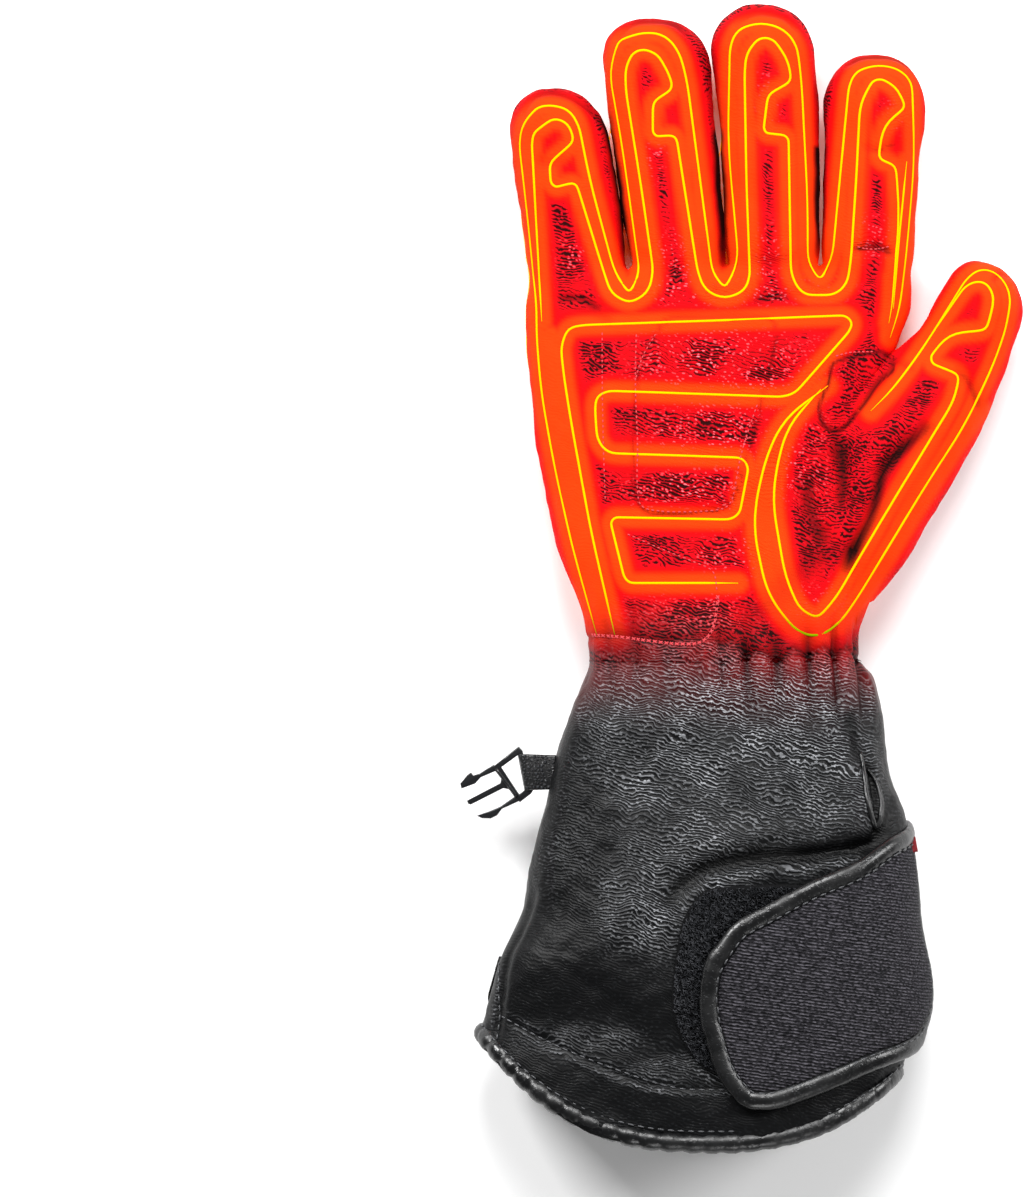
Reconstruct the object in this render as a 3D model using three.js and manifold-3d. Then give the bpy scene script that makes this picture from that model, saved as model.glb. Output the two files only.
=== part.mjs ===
// A right-hand heated gauntlet glove in padded leather, lying on its back with the palm up.
// Millimetres. +Z is up, +Y runs to the fingertips and +X to the thumb side.
// The origin is under the middle of the palm, on the surface that the glove lies on.
import * as THREE from "three";
import { mergeVertices } from "three/addons/utils/BufferGeometryUtils.js";
import Module from "manifold-3d";

const wasm = await Module();
wasm.setup();

// Walls and clearances
const WALL = 3; // leather, padding and lining together
const SEAM_GAP = 0.3; // between two pieces that are sewn edge to edge
const FLATTEN = 3; // how far the back would bulge below the flat that it rests on
const PATCH_THICK = 1.2; // one layer of leather or tape sewn on top

// Hand, from the wrist line to the knuckle line
const HAND_LENGTH = 116;
const KNUCKLE_DEPTH = 29;
const ORIGIN_SHARE = 0.51; // the origin's place between the wrist line and the knuckle line
const CROTCH_REACH = 9; // from the knuckle line to where the fingers part
const WEB_REACH = 5; // from the knuckle line to the end of the hand's own hollow

// Wrist, drawn in by elastic
const WRIST_WIDTH = 85;
const WRIST_DEPTH = 38;
const WRIST_SHIFT = 1.7; // the wrist's middle is this far towards the thumb
const WRIST_RISE = 4; // its underside stands clear of the surface
const WRIST_BAND = 22; // length of the gathered part
const GATHER_COUNT = 20;
const GATHER_DEPTH = 1.3;

// Gauntlet, from the wrist line to the lowest point of the hem
const CUFF_LENGTH = 150;
const CUFF_WIDTH = 130; // across the hem's corners
const CUFF_DEPTH = 47;
const CUFF_SHIFT = -10.2; // the hem's middle is this far towards the little finger
const HEM_ARC = 27; // how far the hem's corners stand back from its lowest point
const HEM_ARC_POWER = 2.6; // 2 is a parabola, more is flatter in the middle
const HEM_ARC_CENTRE = 0.086; // where the lowest point is, in half widths
const BINDING_HEIGHT = 6;
const BINDING_THICK = 1.2;

// Fingers. Length is from the knuckle line, width is at the broad part. The tip leans by so much
// towards the thumb and is curled up by so much.
const FINGERS = [
  { name: "little_finger", length: 61.8, width: 31.6, root: 1.02, depth: 26, lean: -0.3, curl: 5 },
  { name: "ring_finger", length: 83.2, width: 33.4, root: 0.89, depth: 27.5, lean: -1.2, curl: 5 },
  { name: "middle_finger", length: 87.6, width: 31.9, root: 0.89, depth: 28, lean: -1.8, curl: 4 },
  { name: "index_finger", length: 72.2, width: 31.3, root: 0.9, depth: 27, lean: -1.1, curl: 4 },
];
const FINGER_GAP = 0.7; // between neighbours
const FAN_HEIGHT = 44; // where the fingers reach their broad part
const FAN_SHIFT = -1;
const FINGER_TAPER = 0.07; // width lost from the broad part to the tip
const DOME_SHARE = 0.53; // a fingertip's dome is this share of its width long

// Thumb, set on the side of the palm
const THUMB_LENGTH = 115.5;
const THUMB_WIDTH = 41;
const THUMB_DEPTH = 33;
const THUMB_ANGLE = 26; // degrees from the fingers' direction
const THUMB_ROOT = [33, -39.5]; // where its line starts, inside the palm
const THUMB_HEIGHT = 19; // of its middle above the surface
const THUMB_SEAM = 0.71; // where it parts from the hand, as a share of its length

// Closure strap on the palm side of the gauntlet
const STRAP_LIFT = 2; // above the leather, to clear the loop tape
const STRAP_THICK = 2.4;
const STRAP_BULGE = 3; // how far it stands off the gauntlet's thumb side
const STRAP_EDGE = 7; // width of its bound edge
const STRAP_WRAP = 8; // how far it reaches down the side, below the gauntlet's middle

// Clip that joins the two gloves of a pair
const WEBBING_WIDTH = 11;
const WEBBING_THICK = 1.1;
const WEBBING_REACH = 12;
const CLIP_THICK = 2.6;
const CLIP_BAR = 2;
const CLIP_SLOT = 6.8;
const PRONG_LENGTH = 12.5;
const CLIP_TURN = 9; // degrees between webbing and clip
const WEBBING_TURN = 8; // degrees below the sideways direction
const CLIP_DROOP = 10; // degrees that it hangs down

// Heat control on the back of the gauntlet
const BEZEL_SIZE = 25;
const BEZEL_LIFT = 0; // its face above the surface, which it rests on
const BEZEL_FLANGE = 3.4; // thickness outside the leather
const BEZEL_NECK = 20; // the part that passes through the leather
const BUTTON_SIZE = 16;
const BUTTON_THICK = 2.6;
const BUTTON_RECESS = 0.4; // how far the key lies inside its bezel
const BUTTON_TRAVEL = 0.8;
const CONTROL_TURN = 9; // degrees

// Zip pull of the battery pocket
const PULL_WIRE = 1;
const PULL_LOOP = 8;
const TAB_LENGTH = 34;
const TAB_WIDTH = 8;
const TAB_THICK = 2.6;

// Fineness of the faceted surfaces
const BODY_SIDES = 36;
const FINGER_SIDES = 14;
const THUMB_SIDES = 16;

// The glove's body from the hem (-1) over the wrist (0) to the knuckles (1).
// left, right and top say how far that edge has gone from the wrist's to the hem's or knuckles' own.
// rise is the height of the underside, as a share of the wrist's.
const BODY = [
  { at: -1.0, left: 1.0, right: 1.0, top: 1.0, rise: 0.55 },
  { at: -0.93, left: 0.91, right: 1.26, top: 1.0, rise: 1.1 },
  { at: -0.8, left: 0.79, right: 1.5, top: 1.02, rise: 1.25 },
  { at: -0.65, left: 0.61, right: 1.55, top: 1.04, rise: 1.25 },
  { at: -0.5, left: 0.52, right: 1.44, top: 0.98, rise: 1.25 },
  { at: -0.38, left: 0.38, right: 1.22, top: 0.85, rise: 1.25 },
  { at: -0.27, left: 0.31, right: 0.86, top: 0.66, rise: 1.25 },
  { at: -0.15, left: 0.2, right: 0.6, top: 0.38, rise: 1.15 },
  { at: -0.05, left: 0.06, right: 0.28, top: 0.1, rise: 1.03 },
  { at: 0.0, left: 0.0, right: 0.0, top: 0.0, rise: 1.0 },
  { at: 0.1, left: 0.05, right: 0.0, top: 0.05, rise: 0.85 },
  { at: 0.2, left: 0.25, right: 0.02, top: 0.15, rise: 0.5 },
  { at: 0.3, left: 0.5, right: 0.06, top: 0.25, rise: 0.15 },
  { at: 0.4, left: 0.67, right: 0.11, top: 0.34, rise: 0.0 },
  { at: 0.6, left: 0.86, right: 0.2, top: 0.48, rise: 0.0 },
  { at: 0.75, left: 0.98, right: 0.42, top: 0.64, rise: 0.0 },
  { at: 0.86, left: 1.03, right: 0.72, top: 0.78, rise: 0.0 },
  { at: 0.94, left: 1.03, right: 0.95, top: 0.9, rise: 0.0 },
  { at: 1.0, left: 1.0, right: 1.0, top: 1.0, rise: 0.0 },
];
const SQUARENESS = 2.5; // exponent of the body's rounded sections
const MIDDLE_SHARE = 0.47; // height of a section's widest line

// Soft dents and folds of the body, on the palm side (turn 90 is its middle line, 0 the thumb side).
// long and wide are in millimetres, slant in degrees, deep as a share of the wall.
const FOLDS = [
  { at: -0.49, turn: 52, long: 34, wide: 7, slant: -14, deep: 0.75 },
  { at: -0.27, turn: 30, long: 14, wide: 4, slant: -68, deep: 0.8 },
  { at: -0.4, turn: 128, long: 30, wide: 16, slant: 24, deep: 0.5 },
  { at: 0.55, turn: 75, long: 30, wide: 7, slant: 78, deep: 0.6 },
  { at: -0.62, turn: 282, long: 34, wide: 9, slant: 30, deep: 0.45 },
];

// The thumb from its root (0) to where its dome starts: sideways bow, width and depth shares.
const THUMB = [
  { at: 0.0, bow: 0.0, width: 0.68, depth: 0.86 },
  { at: 0.15, bow: -0.05, width: 0.92, depth: 0.98 },
  { at: 0.34, bow: -0.04, width: 1.0, depth: 1.0 },
  { at: 0.54, bow: 0.02, width: 0.93, depth: 0.94 },
  { at: 0.66, bow: 0.06, width: 0.85, depth: 0.88 },
  { at: 0.76, bow: 0.11, width: 0.73, depth: 0.82 },
  { at: 0.88, bow: 0.1, width: 0.65, depth: 0.78 },
  { at: 1.0, bow: 0.05, width: 0.62, depth: 0.74 },
];

// Outlines on the hand as shares: across in half widths of the knuckles, along in hand lengths.
const PALM_PATCH = [
  [-0.25, 0.91], [0.25, 0.91], [0.28, 0.87], [0.19, 0.66], [0.13, 0.55], [0.04, 0.42],
  [-0.02, 0.395], [-0.36, 0.395], [-0.42, 0.42], [-0.46, 0.48], [-0.44, 0.67], [-0.41, 0.79],
  [-0.33, 0.87],
];
const THUMB_TAB = [
  [0.8, 0.78], [0.69, 0.66], [0.62, 0.615], [0.55, 0.62], [0.52, 0.66], [0.55, 0.71], [0.66, 0.78],
];

// Outlines on the gauntlet as shares: across in half widths of the hem, along in cuff lengths from the wrist.
const LOOP_TAPE = [
  [0.78, 0.43], [0.3, 0.455], [0.09, 0.5], [-0.03, 0.56], [-0.09, 0.64], [-0.09, 0.7],
  [-0.04, 0.78], [0.05, 0.845], [0.6, 0.845], [0.8, 0.79],
];
const STRAP = [
  [1.5, 0.31], [0.98, 0.405], [0.83, 0.436], [0.65, 0.468], [0.48, 0.5], [0.3, 0.535],
  [0.18, 0.585], [0.11, 0.65], [0.085, 0.74], [0.1, 0.82], [0.15, 0.88], [0.22, 0.918],
  [0.32, 0.925], [0.5, 0.905], [0.75, 0.865], [0.98, 0.815], [1.5, 0.7],
];
const POCKET_PATCH = [
  [-1.06, 0.61], [-0.85, 0.66], [-0.46, 0.73], [0.02, 0.757], [0.6, 0.735], [0.66, 0.75], [0.66, 0.79],
  [0.42, 0.838], [-0.12, 0.86], [-0.6, 0.805], [-0.85, 0.745], [-1.06, 0.685],
];

// Half the distance across the knuckles follows from the finger roots.
const ROOT_WIDTHS = FINGERS.map((finger) => finger.width * finger.root);
const HAND_WIDTH = ROOT_WIDTHS.reduce((sum, width) => sum + width, 0);
const BROAD_WIDTH = FINGERS.reduce((sum, finger) => sum + finger.width, 0);
const WRIST_Y = -ORIGIN_SHARE * HAND_LENGTH;
const KNUCKLE_Y = WRIST_Y + HAND_LENGTH;
const CROTCH_Y = KNUCKLE_Y + CROTCH_REACH;
const WRIST_TOP = WRIST_RISE + WRIST_DEPTH;
const CUFF_TOP = WRIST_RISE + CUFF_DEPTH;
const BINDING_OUT = SEAM_GAP + BINDING_THICK;

const radians = THREE.MathUtils.degToRad;
const mix = THREE.MathUtils.lerp;

// Reads one column of a table at a station, on a smooth curve through its rows.
function read(table, column, at) {
  const last = table.length - 1;
  let row = 0;
  while (row < last - 1 && at > table[row + 1].at) row += 1;
  const [a, b] = [table[row], table[row + 1]];
  const before = table[Math.max(row - 1, 0)];
  const after = table[Math.min(row + 2, last)];
  const span = b.at - a.at;
  const startSlope = ((b[column] - before[column]) / (b.at - before.at)) * span;
  const endSlope = ((after[column] - a[column]) / (after.at - a.at)) * span;
  const t = THREE.MathUtils.clamp((at - a.at) / span, -0.5, 1.5);
  const t2 = t * t;
  const t3 = t2 * t;
  return (
    (2 * t3 - 3 * t2 + 1) * a[column] +
    (t3 - 2 * t2 + t) * startSlope +
    (3 * t2 - 2 * t3) * b[column] +
    (t3 - t2) * endSlope
  );
}

// A unit point of a rounded section: 0 degrees is the thumb side, 90 the palm side.
function rounded(angle, squareness) {
  const [c, s] = [Math.cos(angle), Math.sin(angle)];
  const power = 2 / squareness;
  return [Math.sign(c) * Math.abs(c) ** power, Math.sign(s) * Math.abs(s) ** power];
}

// The body's edges and heights at a station.
function bodySection(at) {
  const ends =
    at < 0
      ? { width: CUFF_WIDTH, shift: CUFF_SHIFT, top: CUFF_TOP }
      : { width: HAND_WIDTH, shift: 0, top: KNUCKLE_DEPTH };
  const wristLeft = WRIST_SHIFT - WRIST_WIDTH / 2;
  const wristRight = WRIST_SHIFT + WRIST_WIDTH / 2;
  const left = mix(wristLeft, ends.shift - ends.width / 2, read(BODY, "left", at));
  const right = mix(wristRight, ends.shift + ends.width / 2, read(BODY, "right", at));
  const under = Math.max(0, WRIST_RISE * read(BODY, "rise", at));
  const top = mix(WRIST_TOP, ends.top, read(BODY, "top", at));
  const middle = mix(under, top, MIDDLE_SHARE);
  return { centre: (left + right) / 2, half: (right - left) / 2, under, top, middle };
}

// Distance along the glove: straight at the wrist, bowed towards the hem.
function bodyY(at, across) {
  if (at >= 0) return WRIST_Y + at * HAND_LENGTH;
  const bow = HEM_ARC * Math.abs(across - HEM_ARC_CENTRE) ** HEM_ARC_POWER;
  return WRIST_Y + at * (CUFF_LENGTH - bow);
}

// The elastic's gathers: ripples that fade out at both ends of the band.
function gather(at, angle) {
  const along = at * (at < 0 ? CUFF_LENGTH : HAND_LENGTH);
  const share = Math.abs(along) / (WRIST_BAND / 2);
  if (share >= 1) return 0;
  return GATHER_DEPTH * Math.cos(GATHER_COUNT * angle) * Math.cos((share * Math.PI) / 2) ** 2;
}

// Depth of the soft dents at a station and an angle.
function dent(at, angle, half) {
  let depth = 0;
  for (const fold of FOLDS) {
    const length = fold.at < 0 ? CUFF_LENGTH : HAND_LENGTH;
    const along = (at - fold.at) * length;
    const turn = Math.atan2(Math.sin(angle - radians(fold.turn)), Math.cos(angle - radians(fold.turn)));
    const across = -turn * half * 0.8;
    const [c, s] = [Math.cos(radians(fold.slant)), Math.sin(radians(fold.slant))];
    const lengthwise = (across * c + along * s) / (fold.long / 2);
    const crosswise = (along * c - across * s) / (fold.wide / 2);
    depth += fold.deep * WALL * Math.exp(-(lengthwise ** 2) - crosswise ** 2);
  }
  return depth;
}

// A point of the body's skin, moved out by a distance (in, where it is negative).
function bodyPoint(at, angle, out, bulge = 0) {
  const section = bodySection(at);
  const [ex, ez] = rounded(angle, SQUARENESS);
  const swell = out + bulge + gather(at, angle) - dent(at, angle, section.half);
  const x = section.centre + (section.half + swell) * ex;
  const up = section.top - section.middle;
  const down = section.middle - section.under + FLATTEN;
  const z = section.middle + ((ez > 0 ? up : down) + swell) * ez;
  const flat = Math.max(0, section.under - out);
  return new THREE.Vector3(x, bodyY(at, ex), Math.max(flat, z));
}

function bodyRing(at, out, sides = BODY_SIDES, bulge = () => 0) {
  return Array.from({ length: sides }, (_, i) => {
    const angle = (i / sides) * 2 * Math.PI;
    return bodyPoint(at, angle, out, bulge(at, angle));
  });
}

// The lines that part the fingers, counted from the little finger's outer edge.
function fingerLine(index, height) {
  const rootX = ROOT_WIDTHS.slice(0, index).reduce((sum, width) => sum + width, -HAND_WIDTH / 2);
  const widths = FINGERS.slice(0, index).map((finger) => finger.width);
  const broadX = widths.reduce((sum, width) => sum + width, FAN_SHIFT - BROAD_WIDTH / 2);
  return mix(rootX, broadX, height / FAN_HEIGHT);
}

// The width and depth left at a share of a dome's length.
const domeShare = (share) => (1 - THREE.MathUtils.clamp(share, 0, 1) ** 2.3) ** (1 / 2.3);

// One ring of a finger at a height above the knuckle line.
function fingerRing(index, height, out, sides = FINGER_SIDES) {
  const finger = FINGERS[index];
  const left = fingerLine(index, height) + FINGER_GAP / 2;
  const right = fingerLine(index + 1, height) - FINGER_GAP / 2;
  const beyond = Math.max(0, (height - FAN_HEIGHT) / (finger.length - FAN_HEIGHT));
  const dome = DOME_SHARE * finger.width;
  const reach = finger.length + Math.min(out, 0);
  const cap = domeShare((height - (reach - dome)) / dome);
  const half = ((right - left) / 2) * (1 - FINGER_TAPER * beyond) + out;
  const along = Math.max(0, height / finger.length);
  const lift = finger.curl * along ** 2;
  const middle = finger.depth * 0.48 + lift;
  const thick = (finger.depth / 2) * (1 - 0.08 * along) + out;
  return Array.from({ length: sides }, (_, i) => {
    const [ex, ez] = rounded((i / sides) * 2 * Math.PI, 2.3);
    const x = (left + right) / 2 + finger.lean * beyond + half * cap * ex;
    const z = Math.max(middle + thick * cap * ez, Math.max(0, -out));
    return new THREE.Vector3(x, KNUCKLE_Y + height, z);
  });
}

// One ring of the thumb at a share of its length, square to its own line.
function thumbRing(at, out, sides = THUMB_SIDES) {
  const direction = new THREE.Vector2(Math.sin(radians(THUMB_ANGLE)), Math.cos(radians(THUMB_ANGLE)));
  const side = new THREE.Vector2(direction.y, -direction.x);
  const reach = THUMB_LENGTH + Math.min(out, 0);
  const dome = DOME_SHARE * THUMB_WIDTH * 0.64;
  const along = at * THUMB_LENGTH;
  const cap = domeShare((along - (reach - dome)) / dome);
  const half = (THUMB_WIDTH / 2) * read(THUMB, "width", at) + out;
  const thick = (THUMB_DEPTH / 2) * read(THUMB, "depth", at) + out;
  const bow = THUMB_WIDTH * read(THUMB, "bow", at);
  return Array.from({ length: sides }, (_, i) => {
    const [ex, ez] = rounded((i / sides) * 2 * Math.PI, 2.2);
    const across = bow + half * cap * ex;
    const x = THUMB_ROOT[0] + direction.x * along + side.x * across;
    const y = THUMB_ROOT[1] + direction.y * along + side.y * across;
    const z = Math.max(THUMB_HEIGHT + thick * cap * ez, Math.max(0, -out));
    return new THREE.Vector3(x, y, z);
  });
}

// A closed geometry through rings of points. Ends are closed by a fan, or joined when it loops.
function loft(rings, loops = false) {
  const sides = rings[0].length;
  const points = rings.flat();
  const triangles = [];
  const bands = loops ? rings.length : rings.length - 1;
  for (let r = 0; r < bands; r += 1) {
    for (let i = 0; i < sides; i += 1) {
      const j = (i + 1) % sides;
      const [a, b] = [r * sides, ((r + 1) % rings.length) * sides];
      triangles.push(a + i, a + j, b + j, a + i, b + j, b + i);
    }
  }
  if (!loops) {
    for (const [ring, turned] of [[0, true], [rings.length - 1, false]]) {
      const middle = new THREE.Vector3();
      rings[ring].forEach((point) => middle.addScaledVector(point, 1 / sides));
      points.push(middle);
      for (let i = 0; i < sides; i += 1) {
        const [a, b] = [ring * sides + i, ring * sides + ((i + 1) % sides)];
        triangles.push(...(turned ? [b, a, points.length - 1] : [a, b, points.length - 1]));
      }
    }
  }
  const geometry = new THREE.BufferGeometry().setFromPoints(points);
  geometry.setIndex(triangles);
  return geometry;
}

// manifold-3d joins and cuts. A geometry goes in with its repeated corners merged, turned to face outwards.
function solid(geometry) {
  const bare = geometry.index ? geometry.toNonIndexed() : geometry.clone();
  for (const name of Object.keys(bare.attributes)) {
    if (name !== "position") bare.deleteAttribute(name);
  }
  const merged = mergeVertices(bare, 1e-3);
  const corners = merged.index.array;
  const triangles = [];
  for (let i = 0; i < corners.length; i += 3) {
    const [a, b, c] = corners.slice(i, i + 3);
    if (a !== b && b !== c && c !== a) triangles.push([a, b, c]);
  }
  const build = (faces) =>
    new wasm.Manifold(
      new wasm.Mesh({
        numProp: 3,
        vertProperties: new Float32Array(merged.attributes.position.array),
        triVerts: new Uint32Array(faces.flat()),
      }),
    );
  const made = build(triangles);
  return made.volume() >= 0 ? made : build(triangles.map(([a, b, c]) => [b, a, c]));
}

function geometryOf(made) {
  const mesh = made.getMesh();
  const positions = new Float32Array(mesh.numVert * 3);
  for (let i = 0; i < mesh.numVert; i += 1) {
    positions.set(mesh.vertProperties.subarray(i * mesh.numProp, i * mesh.numProp + 3), i * 3);
  }
  return new THREE.BufferGeometry()
    .setAttribute("position", new THREE.BufferAttribute(positions, 3))
    .setIndex(new THREE.BufferAttribute(new Uint32Array(mesh.triVerts), 1));
}

const span = (from, to, count) => Array.from({ length: count + 1 }, (_, i) => mix(from, to, i / count));

const OUTER_DOME = [0, 0.4, 0.7, 0.9];
const INNER_DOME = [0, 0.55, 0.88];

// Heights of a finger's rings: even along the finger, closer in its dome.
function fingerHeights(index, from, out) {
  const finger = FINGERS[index];
  const reach = finger.length + Math.min(out, 0);
  const dome = DOME_SHARE * finger.width;
  const [steps, domeSteps] = out < 0 ? [2, INNER_DOME] : [3, OUTER_DOME];
  return [...span(from, reach - dome, steps).slice(0, -1), ...domeSteps.map((s) => reach - dome * (1 - s))];
}

// A hollow digit, open where it meets the hand: outer skin, open end, inner skin.
function hollowDigit(outerRings, innerRings) {
  return loft([...outerRings.reverse(), ...innerRings]);
}

function fingerShell(index) {
  const from = CROTCH_REACH + SEAM_GAP / 2;
  const rings = (out) => fingerHeights(index, from, out).map((height) => fingerRing(index, height, out));
  return hollowDigit(rings(0), rings(-WALL));
}

// Shares of the thumb's length from a start to its tip.
function thumbStations(from, out) {
  const end = (THUMB_LENGTH + Math.min(out, 0)) / THUMB_LENGTH;
  const dome = (DOME_SHARE * THUMB_WIDTH * 0.64) / THUMB_LENGTH;
  const domeSteps = out < 0 ? INNER_DOME : OUTER_DOME;
  return [...span(from, end - dome, 2).slice(0, -1), ...domeSteps.map((s) => end - dome * (1 - s))];
}

function thumbShell() {
  const from = THUMB_SEAM + SEAM_GAP / 2 / THUMB_LENGTH;
  const rings = (out) => thumbStations(from, out).map((at) => thumbRing(at, out));
  return hollowDigit(rings(0), rings(-WALL));
}

// The whole hand as one closed form at an offset: body, finger roots and thumb root.
function handForm(out, past = 0) {
  const start = (WRIST_BAND / 2 + SEAM_GAP / 2 - past) / HAND_LENGTH;
  const body = span(start, 1, out < 0 ? 7 : 10).map((at) => bodyRing(at, out));
  const web = WEB_REACH + Math.min(out, 0);
  for (const share of [0.45, 0.8, 0.97]) {
    const scale = Math.sqrt(1 - share ** 2);
    const ring = bodyRing(1, out).map((point) => {
      const z = mix(KNUCKLE_DEPTH / 2, point.z, mix(scale, 1, 0.25));
      return new THREE.Vector3(point.x * mix(scale, 1, 0.9), KNUCKLE_Y + web * share, z);
    });
    body.push(ring);
  }
  let form = solid(loft(body));
  FINGERS.forEach((_, index) => {
    const heights = span(-14, CROTCH_REACH - SEAM_GAP / 2 + past, 2);
    form = form.add(solid(loft(heights.map((height) => fingerRing(index, height, out)))));
  });
  const seam = THUMB_SEAM - (SEAM_GAP / 2 - past) / THUMB_LENGTH;
  return form.add(solid(loft(span(0, seam, out < 0 ? 4 : 6).map((at) => thumbRing(at, out)))));
}

const HAND_OUTER = handForm(0);

// A closed shape in plan, pulled up through the whole glove.
function prism(points, holes = []) {
  const shape = new THREE.Shape(points);
  shape.holes = holes.map((hole) => new THREE.Path(hole));
  const depth = 4 * CUFF_DEPTH;
  return new THREE.ExtrudeGeometry(shape, { depth, bevelEnabled: false, curveSegments: 6 });
}

// Corners of an outline, rounded off by a smooth closed curve through them.
function smoothOutline(points, steps = 36) {
  const curve = new THREE.CatmullRomCurve3(
    points.map(([x, y]) => new THREE.Vector3(x, y, 0)), true, "centripetal",
  );
  return curve.getSpacedPoints(steps).slice(0, -1).map((point) => new THREE.Vector2(point.x, point.y));
}

const onHand = ([across, along]) => [(across * HAND_WIDTH) / 2, WRIST_Y + along * HAND_LENGTH];
const onCuff = ([across, along]) => [CUFF_SHIFT + (across * CUFF_WIDTH) / 2, WRIST_Y - along * CUFF_LENGTH];

// A layer sewn on the hand's palm side, between two offsets of its form.
function handLayer(outline, low, high) {
  const cut = solid(prism(smoothOutline(outline.map(onHand)))).translate([0, 0, KNUCKLE_DEPTH / 2]);
  return handForm(high).subtract(handForm(low)).intersect(cut);
}

// Stations of the gauntlet's rings, from the elastic to the hem, with one where the binding ends.
function cuffStations(steps) {
  const start = -(WRIST_BAND / 2 + SEAM_GAP / 2) / CUFF_LENGTH;
  return [...span(start, -1 + BINDING_HEIGHT / CUFF_LENGTH, steps), -1];
}

// The gauntlet as a closed form at an offset, which may stand off its thumb side or run past its ends.
function cuffForm(out, bulge = () => 0, past = 0) {
  const beyond = past / CUFF_LENGTH;
  const stations = cuffStations(10);
  if (past) {
    stations.unshift(stations[0] + beyond);
    stations.push(-1 - beyond);
  }
  return solid(loft(stations.map((at) => bodyRing(at, out, BODY_SIDES, bulge)).reverse()));
}

// The strap stands off the thumb side most near its lower edge.
function strapBulge(at, angle) {
  const side = Math.exp(-((Math.atan2(Math.sin(angle), Math.cos(angle)) / 0.5) ** 2));
  const down = THREE.MathUtils.clamp((-at - 0.42) / 0.46, 0, 1);
  return STRAP_BULGE * side * Math.sin(Math.PI * down ** 1.25);
}

function elasticWrist() {
  const from = -(WRIST_BAND / 2 - SEAM_GAP / 2) / CUFF_LENGTH;
  const to = (WRIST_BAND / 2 - SEAM_GAP / 2) / HAND_LENGTH;
  const rings = (out, steps) => {
    const stations = [...span(from, 0, steps).slice(0, -1), ...span(0, to, steps)];
    return stations.map((at) => bodyRing(at, out, GATHER_COUNT * 3));
  };
  return loft([...rings(0, 2), ...rings(-WALL, 1).reverse()], true);
}

// Where the heat control sits, and the zip pull beside it.
const CONTROL = onCuff([0.51, 0.53]);
const underCuff = WRIST_RISE * read(BODY, "rise", -0.6);

function roundedSquare(size, corner) {
  const half = size / 2;
  const shape = new THREE.Shape();
  shape.moveTo(-half + corner, -half);
  shape.lineTo(half - corner, -half);
  shape.absarc(half - corner, -half + corner, corner, -Math.PI / 2, 0);
  shape.lineTo(half, half - corner);
  shape.absarc(half - corner, half - corner, corner, 0, Math.PI / 2);
  shape.lineTo(-half + corner, half);
  shape.absarc(-half + corner, half - corner, corner, Math.PI / 2, Math.PI);
  shape.lineTo(-half, -half + corner);
  shape.absarc(-half + corner, -half + corner, corner, Math.PI, 1.5 * Math.PI);
  return shape;
}

// A flat plate from a shape, between two heights.
function plate(shape, low, high) {
  const made = new THREE.ExtrudeGeometry(shape, { depth: high - low, bevelEnabled: false, curveSegments: 3 });
  return made.translate(0, 0, low);
}

function placedControl(made) {
  return made.rotateZ(radians(CONTROL_TURN)).translate(CONTROL[0], CONTROL[1], 0);
}

function gauntlet() {
  const rings = (out, steps) => cuffStations(steps).map((at) => bodyRing(at, out)).reverse();
  const wall = solid(loft([...rings(0, 10), ...rings(-WALL, 5).reverse()], true));
  const window = placedControl(plate(roundedSquare(BEZEL_NECK + 2 * SEAM_GAP, 3), -1, underCuff + 3 * WALL));
  return geometryOf(wall.subtract(solid(window)));
}

// The binding folds round the hem: a U whose legs stand either side of the wall.
function hemBinding() {
  const leg = BINDING_HEIGHT / CUFF_LENGTH;
  const gap = SEAM_GAP / CUFF_LENGTH;
  const roll = BINDING_OUT / CUFF_LENGTH;
  const [inner, outer] = [-WALL - SEAM_GAP, SEAM_GAP];
  const profile = [
    [-1 + leg, outer], [-1 + leg, outer + BINDING_THICK], [-1 - gap, outer + BINDING_THICK], [-1 - roll, outer], [-1 - roll, inner],
    [-1 - gap, inner - BINDING_THICK], [-1 + leg, inner - BINDING_THICK], [-1 + leg, inner],
    [-1 - gap, inner], [-1 - gap, outer],
  ];
  const geometry = loft(profile.map(([at, out]) => bodyRing(at, out)), true);
  return geometryOf(solid(geometry));
}

// The strap's plan, inset by a distance. Points that an inner corner would fold over are left out.
function strapOutline(inset) {
  const outline = smoothOutline(STRAP.map(onCuff), 48);
  if (!inset) return outline;
  const moved = outline.map((point, i) => {
    const before = outline[(i + outline.length - 1) % outline.length];
    const after = outline[(i + 1) % outline.length];
    const along = after.clone().sub(before).normalize();
    return new THREE.Vector2(point.x - along.y * inset, point.y + along.x * inset);
  });
  return moved.filter((point) => outline.every((edge) => edge.distanceTo(point) > inset * 0.97));
}

function strapLayer(plan, low, high) {
  const sideHeight = mix(underCuff, CUFF_TOP, MIDDLE_SHARE) - STRAP_WRAP;
  const cut = solid(prism(plan.outer, plan.holes)).translate([0, 0, sideHeight]);
  return geometryOf(cuffForm(high, strapBulge).subtract(cuffForm(low, strapBulge, 2)).intersect(cut));
}

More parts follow.
